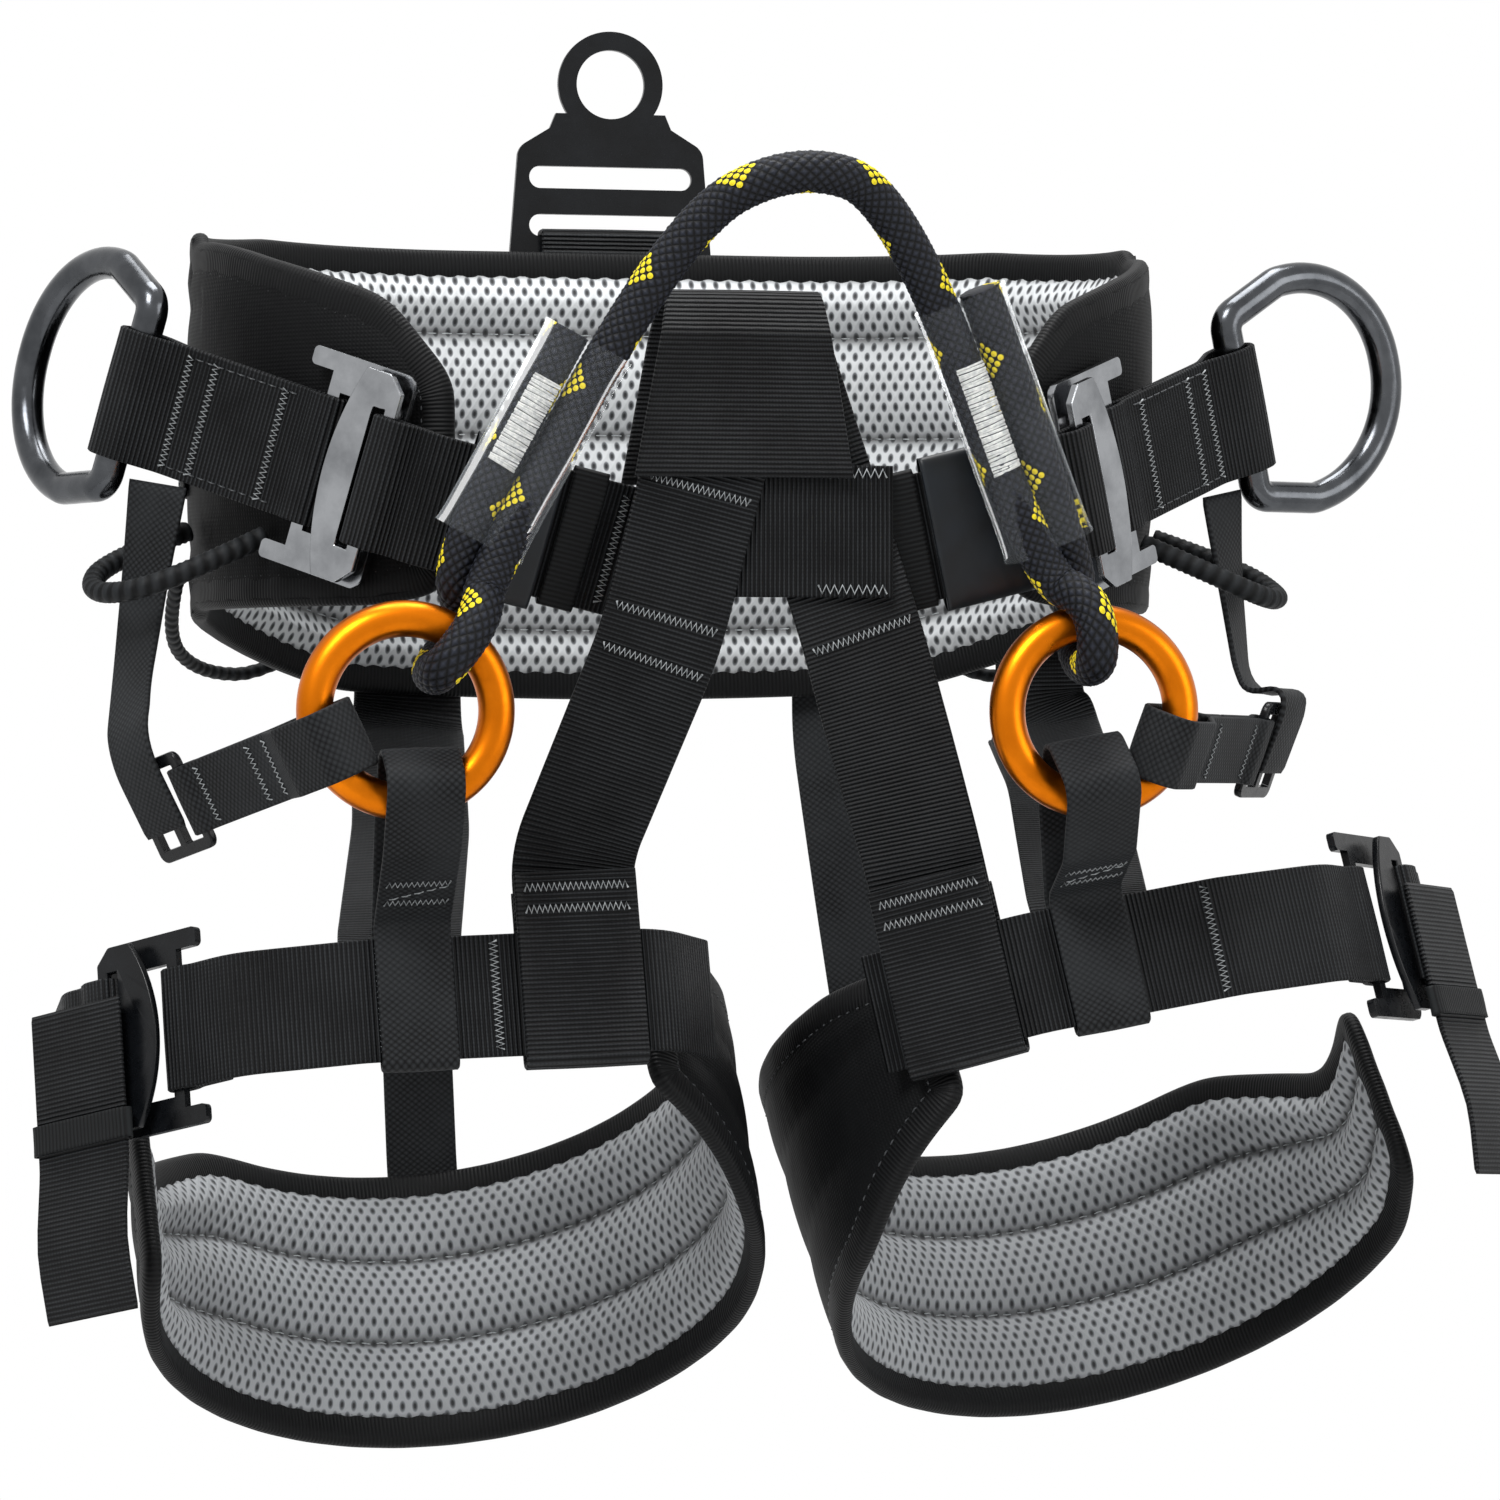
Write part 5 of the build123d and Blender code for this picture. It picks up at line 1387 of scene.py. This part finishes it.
class PadSkin:
    """Both faces of a bent pad: columns along it, rows from its lower to its upper edge.

    place(run, depth, z) gives a point, and limits each column's lower and upper edge; inner and
    outer are the depths of the faces between seams, and edge their depths at the rim.
    """

    def __init__(self, columns, place, limits, seams, inner, outer, edge, rows):
        self.columns = columns
        self.place = place
        self.limits = limits
        self.seams = seams
        self.inner = inner
        self.outer = outer
        self.edge = edge
        self.rows = rows

    def height(self, column, row):
        """Height of a row at one column."""
        low, high = self.limits[column]
        return low + (high - low) * row / self.rows

    def depth(self, column, z):
        """Inner and outer distance from the pad's centre line at a height."""
        low, high = self.limits[column]
        lift, near = pillow(z, low, high, self.seams(column))
        # about the distance to the nearer end of the pad
        end = min(column, len(self.columns) - 1 - column) * 2.0
        taper = min(1.0, max(0.0, (end - 3) / 12)) ** 0.6
        run = self.columns[column]
        pucker = 0.45 * math.sin(2 * math.pi * run / 8.5 + 2.1 * math.sin(z / 23)) * math.exp(
            -(near / 5.0) ** 2)
        soft = 0.5 * math.sin(run / 17.0 + z / 29.0) + 0.4 * math.sin(run / 41.0 - z / 13.0)
        inner = (self.edge[0] + (self.inner - self.edge[0]) * lift * taper - pucker
                 - 0.4 * soft * lift)
        outer = self.edge[1] + (self.outer - self.edge[1]) * (0.35 + 0.65 * lift) * taper
        return inner, outer - 0.15 * pucker

    def rim(self):
        """Column and row of each point round the edge, in order."""
        last, top = len(self.columns) - 1, self.rows
        marks = [(c, 0) for c in range(last + 1)] + [(last, r) for r in range(1, top + 1)]
        marks += [(c, top) for c in range(last - 1, -1, -1)]
        return marks + [(0, r) for r in range(top - 1, 0, -1)]

    def rim_line(self):
        """Points round the edge, midway between the faces."""
        middle = (self.edge[0] + self.edge[1]) / 2
        return [self.place(self.columns[c], middle, self.height(c, r)) for c, r in self.rim()]

    def stitches(self, first, seam_at, may_start=None):
        """Short stitches along one seam, on every third column from the first."""
        rows = []
        for c in range(first, len(self.columns) - first - 1, 3):
            if may_start and not may_start(c):
                continue
            points = []
            for step in range(3):
                z = seam_at(c + step)
                z = seam_at(c) if z is None else z
                sink = 0.25 if step == 1 else -0.15
                inner = self.depth(c + step, z)[0] - sink
                points.append(self.place(self.columns[c + step], inner, z))
            rows.append(points)
        return rows

    def build(self, name, keys):
        """The pad in one mesh: its lining, its cover and the strip between them at the rim."""
        count, rows = len(self.columns), self.rows
        verts = []
        marks = []
        for which in (0, 1):
            for c in range(count):
                for r in range(rows + 1):
                    z = self.height(c, r)
                    verts.append(self.place(self.columns[c], self.depth(c, z)[which], z))
                    near = pillow(z, *self.limits[c], self.seams(c))[1]
                    # painted shade mask: on the lining only, strongest on the quilt seams and at the
                    # bound edge
                    marks.append(0.0 if which else math.exp(-(near / 2.6) ** 2))

        def uv_of(c, r):
            """Metres along and up the pad."""
            return (self.columns[c] * MM, self.height(c, r) * MM)

        faces = []
        uvs = []
        which_material = []
        offset = count * (rows + 1)
        for which in (0, 1):
            for c in range(count - 1):
                for r in range(rows):
                    a = which * offset + c * (rows + 1) + r
                    quad = [a, a + rows + 1, a + rows + 2, a + 1]
                    corner = [(c, r), (c + 1, r), (c + 1, r + 1), (c, r + 1)]
                    if which:
                        quad.reverse()
                        corner.reverse()
                    faces.append(quad)
                    uvs.append([uv_of(*k) for k in corner])
                    which_material.append(which)
        rim = self.rim()
        for (c, r), (nc, nr) in zip(rim, rim[1:] + rim[:1]):
            a, b = c * (rows + 1) + r, nc * (rows + 1) + nr
            faces.append([a, b, b + offset, a + offset])
            uvs.append([uv_of(c, r), uv_of(nc, nr), uv_of(nc, nr), uv_of(c, r)])
            which_material.append(1)
        obj = to_mesh(name, verts, faces, uvs, keys, which_material)
        # the painted shade mask, read by the mesh material
        crease_and_painted_shade = obj.data.attributes.new("crease_and_painted_shade", "FLOAT", "POINT")
        crease_and_painted_shade.data.foreach_set("value", marks)
        tidy = bmesh.new()
        tidy.from_mesh(obj.data)
        bmesh.ops.recalc_face_normals(tidy, faces=tidy.faces)
        tidy.to_mesh(obj.data)
        tidy.free()
        return obj


def binding_tape(name, line, radial_of, up, thick, inset):
    """Tape folded over a pad's edge: a flattened round section carried round the whole rim."""
    width = sizes().binding / MM
    closed = respaced(line + [line[0]], 2.4)[:-1]
    for _ in range(5):
        closed = [(closed[i - 1] + closed[i] * 2 + closed[(i + 1) % len(closed)]) / 4
                  for i in range(len(closed))]
    count = len(closed)
    frames = []
    run = 0.0
    for i in range(count + 1):
        point = closed[i % count]
        ahead = (closed[(i + 1) % count] - closed[(i - 1) % count]).normalized()
        out = radial_of(point)
        if i:
            run += (point - closed[i - 1]).length
        frames.append((point, out, ahead.cross(out).normalized(), run))
    lowest = min(frames, key=lambda f: f[0].dot(up))
    sign = 1 if lowest[2].dot(up) > 0 else -1
    profile = []
    for k in range(20):
        turn = 2 * math.pi * k / 20
        c, s = math.cos(turn), math.sin(turn)
        profile.append((math.copysign(abs(c) ** 0.62, c) * width / 2,
                        math.copysign(abs(s) ** 0.8, s) * thick / 2))
    rings = []
    ring_uvs = []
    for point, out, into, run in frames:
        ripple = 0.18 * math.sin(run / 3.1)
        rings.append([
            point + into * (sign * (w + inset)) + out * (t * (1 + 0.05 * ripple) + ripple * 0.3)
            for w, t in profile])
        row = [(run * MM, w * MM) for w, t in profile]
        ring_uvs.append(row + [row[0]])
    tape = loft_rings(name, rings, ring_uvs, ["binding"], caps=False)
    settle(tape, "pad_cover")
    rows = []
    for face in (-1, 1):
        line = []
        for point, out, into, run in frames:
            across = into * (sign * (inset + width * 0.30))
            line.append((point + across + out * (face * (thick * 0.43 + 0.1)), out * face))
        for (a, lift), (b, other) in zip(line[::2], line[1::2]):
            rows.append([a - lift * 0.2, (a + b) / 2 + lift * 0.2, b - other * 0.2])
    thread_mesh(name + "_stitch", rows, 0.34, "dark_thread")


def waist_pad():
    """Lumbar pad: air mesh inside, woven cover outside, quilted channels and a bound edge."""
    front_turn = math.degrees(math.acos((WING_TIP_X + 0.5 - WAIST_HALF) / WAIST_MIDDLE_R))
    arc = math.radians(front_turn + 90) * WAIST_MIDDLE_R
    total = 2 * arc + WAIST_STRAIGHT
    wing = waist_outline()

    def spot(run, depth):
        """Plan position at a distance along the pad and a distance from its centres."""
        if run <= arc:
            angle = math.radians(-front_turn) + run / WAIST_MIDDLE_R
            return WAIST_HALF + depth * math.cos(angle), depth * math.sin(angle)
        if run >= total - arc:
            angle = math.radians(-front_turn) + (total - run) / WAIST_MIDDLE_R
            return -WAIST_HALF - depth * math.cos(angle), depth * math.sin(angle)
        return WAIST_HALF - (run - arc), depth

    def place(run, depth, z):
        """The point at a distance along the pad, a depth through it and a height."""
        x, y = spot(run, depth)
        return Vector((x, y, z))

    count = int(total / COLUMN_STEP)
    columns = [total * k / count for k in range(count + 1)]
    limits = []
    for run in columns:
        x, y = spot(run, WAIST_MIDDLE_R)
        limits.append(waist_limits(x, y < 0, wing))

    def seams(column):
        """Heights of the quilt seams: two on the wings and three behind them."""
        y = spot(columns[column], WAIST_MIDDLE_R)[1]
        low = limits[column][0]
        bend = 6 * math.cos(columns[column] / total * 2 * math.pi)
        if y < -20:
            return (15 - 0.25 * (-y), low + 26)
        return (57, 15 - bend * 0.3, low + 25)

    skin = PadSkin(columns, place, limits, seams, WAIST_R - 2.6, WAIST_OUTER_R - 0.1,
                   (116.6, 121.8), 96)
    obj = skin.build("waist_pad_padding", ["mesh_waist", "cover"])
    settle(obj, "air_mesh", "waist_pad_lining", "waist_pad_foam", "waist_pad_cover")

    def radial(point):
        """Direction out of the pad's bend at a point."""
        x = min(max(point.x, -WAIST_HALF), WAIST_HALF)
        return Vector((point.x - x, point.y, 0)).normalized()

    binding_tape("waist_pad_binding", skin.rim_line(), radial, Vector((0, 0, 1)), 7.4, 4.6)
    rows = []
    for which in range(3):
        def seam_at(column):
            """Height of this seam at a column, or nothing where it isn't sewn."""
            found = seams(column)
            return found[which] if which < len(found) else None

        def sewn(column):
            """Whether this seam is there and far enough from the edges."""
            low, high = limits[column]
            z = seam_at(column)
            return z is not None and low + SEAM_CLEAR < z < high - SEAM_CLEAR

        rows += skin.stitches(4, seam_at, sewn)
    thread_mesh("waist_quilt_stitch", rows, SEAM_THREAD, "thread")


def leg_pad(tag, side):
    """Thigh pad with two curved quilt seams and a bound edge."""
    axes = pad_plane(side)
    half = LEG_PAD_H / 2
    back = LEG_R + 2
    long_side = rounded([
        (back, -half), (back, half), (20, half), (-60, 44), (-90, 34), (-90, -22),
        (-40, -half + 6), (20, -half)], [1, 1, 60, 20, 5, 5, 40, 40], step=1.5, close=True)
    short_side = rounded([
        (back, -half), (back, half), (84, half), (30, 18), (-14, 26), (-14, -half + 10),
        (20, -half)], [1, 1, 30, 30, 10, 12, 20], step=1.5, close=True)
    middle = LEG_R - 5
    inner_turn = math.degrees(math.acos(-89.4 / middle))
    outer_turn = math.degrees(math.acos(-13.4 / middle))
    total = math.radians(inner_turn + outer_turn) * middle

    def angle_of(run):
        """Angle from the back of the thigh, + towards the pad's outer end."""
        return run / middle - math.radians(inner_turn)

    def place(run, depth, z):
        """The point at a distance along the pad, a depth through it and a height."""
        angle = angle_of(run)
        return axes.at(side * depth * math.sin(angle), depth * math.cos(angle), z)

    count = int(total / COLUMN_STEP)
    columns = [total * k / count for k in range(count + 1)]
    limits = []
    for run in columns:
        angle = angle_of(run)
        outline = short_side if angle > 0 else long_side
        limits.append(side_limits(outline, min(max(middle * math.cos(angle), -89.5), back - 1)))

    def seams(column):
        """Heights of the two quilt seams."""
        low, high = limits[column]
        return (low + (high - low) * 0.36, low + (high - low) * 0.68)

    skin = PadSkin(columns, place, limits, seams, LEG_R - 12.6, LEG_R - 0.2,
                   (LEG_R - 6.6, LEG_R - 1.6), 70)
    obj = skin.build(f"leg_pad_{tag}_padding", ["mesh_leg", "cover"])
    settle(obj, "air_mesh", f"leg_pad_{tag}", f"leg_pad_lining_{tag}")

    def radial(point):
        """Direction out of the pad's bend at a point."""
        local = axes.local(point)
        return (axes.x_dir * local.x + axes.y_dir * local.y).normalized()

    binding_tape(f"leg_pad_binding_{tag}", skin.rim_line(), radial, axes.z_dir, 7.2, 4.4)
    rows = skin.stitches(6, lambda column: seams(column)[0])
    rows += skin.stitches(6, lambda column: seams(column)[1])
    thread_mesh(f"leg_quilt_stitch_{tag}", rows, 0.28, "thread")


# ---------------------------------------------------------------- ropes and cords
def rope_axes(side):
    """Directions down a sleeve, and across it to the strand on the outer side."""
    down = (SLEEVE_BOTTOM[side] - SLEEVE_TOP[side]).normalized()
    return down, Vector((-down.z, 0, down.x)).normalized() * side


def bridge_route():
    """Control points of the rope, from the left strand's end to the right strand's end."""
    turn_out = ROPE_D / 2 + RING_MINOR + 2 * GAP
    pair_half = ROPE_D / 2 + GAP
    route = {}
    for side in (-1, 1):
        down, apart = rope_axes(side)
        top, bottom = SLEEVE_TOP[side], SLEEVE_BOTTOM[side]
        angle = RING_ROPE_ANGLE[side]
        route[side] = [
            top + apart * pair_half,
            bottom + apart * pair_half + down * 9.5,
            ring_point(side, angle, turn_out, 8),
            ring_point(side, angle, turn_out, -turn_out - 1.2),
            ring_point(side, angle, -turn_out, -turn_out - 1.2),
            ring_point(side, angle, -turn_out, 8),
            bottom - apart * pair_half + down * 9.5,
            top - apart * pair_half - down * ROPE_RISE[side],
        ]
    return route[-1] + [ROPE_APEX] + route[1][::-1]


def rope_bridge():
    """Braided rope in one length, doubled at each ring inside a clear sleeve."""
    route = bridge_route()
    line = respaced(nurbs_points("bridge_rope_route", route), 0.95)

    def braid(run, turn):
        """Crossing yarns, in step with the sheath's material, 0.64 mm from hollow to crown."""
        first = math.cos(2 * math.pi * (turn * YARNS + run / YARN_PITCH))
        second = math.cos(2 * math.pi * (turn * YARNS - run / YARN_PITCH))
        return -0.16 * (first + second) - 0.1

    rope = round_cord("bridge_rope_sheath", line, ROPE_D / 2, "rope", sides=60, shape=braid)
    settle(rope, "rope", "bridge_rope")
    sleeves = [rope_sleeve(tag, side) for tag, side in SIDES]


def rope_sleeve(tag, side):
    """Clear tube shrunk over the doubled rope, with the stitched panel inside it."""
    down, apart = rope_axes(side)
    top, bottom = SLEEVE_TOP[side], SLEEVE_BOTTOM[side]
    front = down.cross(apart)
    if front.y > 0:
        front = -front
    length = (bottom - top).length
    half_w = (4 * (ROPE_D / 2 + GAP) + 2.4) / 2
    half_t = (ROPE_D + 2 * GAP + 2.4) / 2
    rings = []
    ring_uvs = []
    steps = 54
    for k in range(steps + 1):
        run = length * k / steps
        near = min(run, length - run)
        flare = 1.0 + 0.04 * math.exp(-near / 2.5)
        ring = []
        row = []
        for n in range(56):
            turn = 2 * math.pi * n / 56
            c, s = math.cos(turn), math.sin(turn)
            core = max(half_w - half_t, 0)
            waist = 1 - 0.10 * math.exp(-((c * half_w) / 5) ** 2)
            crinkle = 0.35 * math.sin(run / 7.7 + 3 * c) + 0.1 * math.sin(run / 3.1 + 2 * s)
            w = math.copysign(core, c) * min(1, abs(c) * 3) + half_t * c
            t = half_t * s * waist
            ring.append(top + down * run + apart * (w * flare) + front * (t * flare + crinkle * 0.4))
            row.append((run * MM, w * MM))
        rings.append(ring)
        ring_uvs.append(row + [row[0]])
    tube = loft_rings(f"rope_sleeve_{tag}_shrunk", rings, ring_uvs, ["tube"], caps=False)
    settle(tube, "clear_tube", f"rope_sleeve_{tag}")

    lines = []
    for k in range(58):
        t = k / 57
        run = length * (0.24 + 0.42 * t)
        wobble = 0.25 * math.sin(k * 2.4)
        ends = (-5.2, 5.2) if k % 2 else (5.2, -5.2)
        lines += [top + down * (run + wobble * j) + apart * (across + wobble - side * 7)
                  + front * (half_t - 1.3 - 0.5 * abs(across) / 5.2)
                  for j, across in enumerate((ends[0], 0.0, ends[1]))]
    thread_mesh(f"rope_stitching_{tag}", [lines], 0.46, "pale_thread")
    return tube


def gear_cord(name, node, points, radius, sides, spacing, wound):
    """A stiff cord through points; wound is the pitch, height and depth of its wrapping."""
    pitch, height, depth = wound

    def ribs(run, turn):
        """Height of the wrapping above the cord's radius."""
        return height * math.sin(2 * math.pi * (run / pitch + turn)) - depth

    line = respaced(nurbs_points("gear_route", points), spacing)
    settle(round_cord(name + "_cord", line, radius, "cord", sides, ribs), "gear_cord", node)


def gear_cords():
    """Stiff cords that stand off the pad to carry tools."""
    for tag, side in SIDES:
        name = f"front_gear_loop_{tag}"
        points = [pad_point(side, -34, 2.2, -32), (side * 192, -80, -44), (side * 216, -72, -53),
                  (side * 229, -48, -52), (side * 220, -24, -40), pad_point(side, -5.5, 2.3, -28)]
        gear_cord(name, name, points, 4.0, 20, 1.3, (2.6, 0.28, 0.2))
    for tag, side in SIDES:
        points = [pad_point(side, 5, 3.1, -44), pad_point(side, 22, 14, -66),
                  pad_point(side, 40, 19, -80), pad_point(side, 55, 14, -80),
                  pad_point(side, 66, 3.1, -60)]
        gear_cord(f"rear_gear_loop_{tag}", "rear_gear_loops", points, 2.75, 16, 1.5,
                  (2.0, 0.16, 0.1))


# ---------------------------------------------------------------- metalwork
METALS = {
    "side_dee_ring_l": "dee", "side_dee_ring_r": "dee", "rear_plate": "black",
    "bridge_ring_l": "ring", "bridge_ring_r": "ring",
    "waist_buckle_frame_l": "bright", "waist_buckle_frame_r": "bright",
    "waist_buckle_tongue_l": "bright", "waist_buckle_tongue_r": "bright",
    "leg_buckle_frame_l": "black", "leg_buckle_frame_r": "black",
    "leg_buckle_tongue_l": "black", "leg_buckle_tongue_r": "black",
    "slide_buckle_l": "black", "slide_buckle_r": "black",
}


def metalwork():
    """Rings, buckles and the plate keep their solids; edges are eased and finishes applied."""
    for name, key in METALS.items():
        node = frame["nodes"][name]
        node.data.materials.clear()
        node.data.materials.append(finish_of(key))
        if not name.startswith(("bridge_ring", "side_dee")):
            weld = node.modifiers.new("Weld", "WELD")
            weld.merge_threshold = 0.01 * MM
            ease = node.modifiers.new("Bevel", "BEVEL")
            ease.width = 0.7 * MM
            ease.segments = 3
            ease.limit_method = "ANGLE"
            ease.angle_limit = math.radians(40)
            ease.harden_normals = True


# ---------------------------------------------------------------- camera, floor and light
# a long lens, level with the saddle and a little to the left of its front
CAMERA_LENS = 137.6
CAMERA_AT = Vector((0.0290, -0.0061, -0.110))
CAMERA_TURN = math.radians(-12)
CAMERA_AWAY = 2.2
FLOOR_RADIUS = 1500
FLOOR_DROP = 0.5
LAMP_AIM = Vector((0, 0, -0.1))
# name, place, edge length in metres and power in watts
LAMPS = (("key", (-1.3, -1.7, 1.9), 1.1, 74), ("fill", (2.1, -1.8, 0.5), 1.5, 24),
         ("top", (0.2, 0.2, 2.2), 1.2, 52))


def set_camera():
    """Camera that looks level at the saddle's middle."""
    camera = bpy.data.cameras.new("Camera")
    camera.sensor_width = 36
    camera.lens = CAMERA_LENS
    camera.clip_start = 0.1
    camera.clip_end = 20
    holder = bpy.data.objects.new("Camera", camera)
    ahead = Vector((-math.sin(CAMERA_TURN), math.cos(CAMERA_TURN), 0))
    holder.location = CAMERA_AT - ahead * CAMERA_AWAY
    holder.rotation_euler = (math.radians(90), 0, CAMERA_TURN)
    bpy.context.scene.collection.objects.link(holder)
    bpy.context.scene.camera = holder


def studio_floor():
    """Matt white studio floor: keeps the soft shadow, a little lifted for the camera."""
    made, tree = material("matt_white_floor")
    path = add(tree, "ShaderNodeLightPath")
    coord = add(tree, "ShaderNodeTexCoord")
    grain = add(tree, "ShaderNodeTexNoise", {"Vector": coord.outputs["Object"]}, Scale=3.0)
    tone = add(tree, "ShaderNodeValToRGB", {"Fac": grain.outputs["Fac"]}, stops=[
        (0.3, linear("F1F1F1")), (0.7, linear("F7F7F7"))])
    matt = add(tree, "ShaderNodeBsdfDiffuse", {"Color": tone.outputs["Color"]})
    lift = add(tree, "ShaderNodeMath", {0: path.outputs["Is Camera Ray"], 1: 0.35},
               operation="MULTIPLY")
    white = add(tree, "ShaderNodeEmission", {"Strength": lift.outputs[0]}, Color=(1, 1, 1, 1))
    both = add(tree, "ShaderNodeAddShader", {0: matt.outputs[0], 1: white.outputs[0]})
    return finished(made, both)


def studio_world():
    """White surroundings for the camera, metal and clear plastic; dimmer as a light source."""
    world = bpy.data.worlds.new("studio")
    world.use_nodes = True
    tree = world.node_tree
    path = add(tree, "ShaderNodeLightPath")
    seen = add(tree, "ShaderNodeMath", {0: path.outputs["Is Camera Ray"],
                                        1: path.outputs["Is Glossy Ray"]}, operation="ADD")
    through = add(tree, "ShaderNodeMath", {0: seen.outputs[0],
                                           1: path.outputs["Is Transmission Ray"]},
                  operation="ADD", use_clamp=True)
    strength = add(tree, "ShaderNodeMapRange", {"Value": through.outputs[0]}, To_Min=0.32,
                   To_Max=1.0)
    background = tree.nodes["Background"]
    background.inputs[0].default_value = (1, 1, 1, 1)
    tree.links.new(strength.outputs[0], background.inputs[1])
    return world


def set_stage():
    """Round floor under the hanging saddle, three soft lamps and the white surroundings."""
    scene = bpy.context.scene
    low = (CAD_BOX[0][2] - FLOOR_DROP) / MM
    count = 64
    turns = [2 * math.pi * k / count for k in range(count)]
    verts = [Vector((0, 0, low))]
    verts += [Vector((FLOOR_RADIUS * math.cos(t), FLOOR_RADIUS * math.sin(t), low)) for t in turns]
    faces = [(0, 1 + k, 1 + (k + 1) % count) for k in range(count)]
    _materials["floor"] = studio_floor()
    floor = to_mesh("studio_floor", verts, faces, [((0, 0), (1, 0), (1, 1))] * count, ["floor"])
    for name, spot, size, power in LAMPS:
        lamp = bpy.data.lights.new(name + "_softbox", "AREA")
        lamp.shape = "SQUARE"
        lamp.size = size
        lamp.energy = power
        holder = bpy.data.objects.new(name + "_softbox", lamp)
        holder.location = spot
        holder.rotation_euler = (LAMP_AIM - Vector(spot)).to_track_quat("-Z", "Y").to_euler()
        scene.collection.objects.link(holder)
    scene.world = studio_world()
    scene.view_settings.view_transform = "Standard"


# ---------------------------------------------------------------- operators
class SADDLE_OT_camera(bpy.types.Operator):
    """Place the camera"""
    bl_idname = "saddle.camera"
    bl_label = "Camera"

    def execute(self, context):
        set_camera()
        return {"FINISHED"}


class SADDLE_OT_ropes(bpy.types.Operator):
    """Build the braided rope and its clear sleeves"""
    bl_idname = "saddle.ropes"
    bl_label = "Rope bridge"

    def execute(self, context):
        rope_bridge()
        return {"FINISHED"}


class SADDLE_OT_waist_pad(bpy.types.Operator):
    """Build the quilted lumbar pad and its binding"""
    bl_idname = "saddle.waist_pad"
    bl_label = "Waist pad"

    def execute(self, context):
        waist_pad()
        return {"FINISHED"}


class SADDLE_OT_leg_pads(bpy.types.Operator):
    """Build the quilted thigh pads and their bindings"""
    bl_idname = "saddle.leg_pads"
    bl_label = "Leg pads"

    def execute(self, context):
        for tag, side in SIDES:
            leg_pad(tag, side)
        return {"FINISHED"}


class SADDLE_OT_waist_straps(bpy.types.Operator):
    """Build the side loops, front belts, sleeves and keepers"""
    bl_idname = "saddle.waist_straps"
    bl_label = "Waist straps"

    def execute(self, context):
        for tag, side in SIDES:
            waist_straps(tag, side)
        return {"FINISHED"}


class SADDLE_OT_front_straps(bpy.types.Operator):
    """Build the centre belt and the ventral loop"""
    bl_idname = "saddle.front_straps"
    bl_label = "Front straps"

    def execute(self, context):
        front_straps()
        return {"FINISHED"}


class SADDLE_OT_leg_straps(bpy.types.Operator):
    """Build the leg bands, tails and yoke straps"""
    bl_idname = "saddle.leg_straps"
    bl_label = "Leg straps"

    def execute(self, context):
        for tag, side in SIDES:
            leg_straps(tag, side)
        return {"FINISHED"}


class SADDLE_OT_ring_straps(bpy.types.Operator):
    """Build the light straps round the bridge rings"""
    bl_idname = "saddle.ring_straps"
    bl_label = "Ring straps"

    def execute(self, context):
        for tag, side in SIDES:
            ring_straps(tag, side)
        return {"FINISHED"}


class SADDLE_OT_risers(bpy.types.Operator):
    """Build the straps from the waist pad to the legs"""
    bl_idname = "saddle.risers"
    bl_label = "Risers"

    def execute(self, context):
        for tag, side in SIDES:
            risers(tag, side)
        return {"FINISHED"}


class SADDLE_OT_rear_straps(bpy.types.Operator):
    """Build the waist webbing and the loop of the rear plate"""
    bl_idname = "saddle.rear_straps"
    bl_label = "Rear straps"

    def execute(self, context):
        rear_straps()
        return {"FINISHED"}


class SADDLE_OT_gear_cords(bpy.types.Operator):
    """Build the stiff cords for tools"""
    bl_idname = "saddle.gear_cords"
    bl_label = "Gear loops"

    def execute(self, context):
        gear_cords()
        return {"FINISHED"}


class SADDLE_OT_metalwork(bpy.types.Operator):
    """Finish the rings, buckles and rear plate"""
    bl_idname = "saddle.metalwork"
    bl_label = "Metalwork"

    def execute(self, context):
        metalwork()
        return {"FINISHED"}


class SADDLE_OT_stage(bpy.types.Operator):
    """Place the floor, the soft lamps and the white surroundings"""
    bl_idname = "saddle.stage"
    bl_label = "Stage"

    def execute(self, context):
        set_stage()
        return {"FINISHED"}


OPERATORS = (
    SADDLE_OT_camera, SADDLE_OT_ropes, SADDLE_OT_waist_pad, SADDLE_OT_leg_pads,
    SADDLE_OT_waist_straps, SADDLE_OT_front_straps, SADDLE_OT_leg_straps, SADDLE_OT_ring_straps,
    SADDLE_OT_risers, SADDLE_OT_rear_straps, SADDLE_OT_gear_cords, SADDLE_OT_metalwork,
    SADDLE_OT_stage)


class SADDLE_PT_panel(bpy.types.Panel):
    """Steps that build the saddle, in order"""
    bl_label = "Tree Climbing Saddle"
    bl_idname = "SADDLE_PT_panel"
    bl_space_type = "VIEW_3D"
    bl_region_type = "UI"
    bl_category = "Saddle"

    def draw(self, context):
        for step in OPERATORS:
            self.layout.operator(step.bl_idname)


CLASSES = (SaddleColours, SaddleSizes, *OPERATORS, SADDLE_PT_panel)


def register():
    """Make the settings, steps and panel known to Blender."""
    for made in CLASSES:
        bpy.utils.register_class(made)
    bpy.types.Scene.saddle_colours = bpy.props.PointerProperty(type=SaddleColours)
    bpy.types.Scene.saddle_sizes = bpy.props.PointerProperty(type=SaddleSizes)


def unregister():
    """Take them out again."""
    del bpy.types.Scene.saddle_sizes
    del bpy.types.Scene.saddle_colours
    for made in reversed(CLASSES):
        bpy.utils.unregister_class(made)


def main():
    """Build the saddle in order."""
    register()
    for step in OPERATORS:
        getattr(bpy.ops.saddle, step.bl_idname.split(".")[1])()


if __name__ == "__main__":
    main()
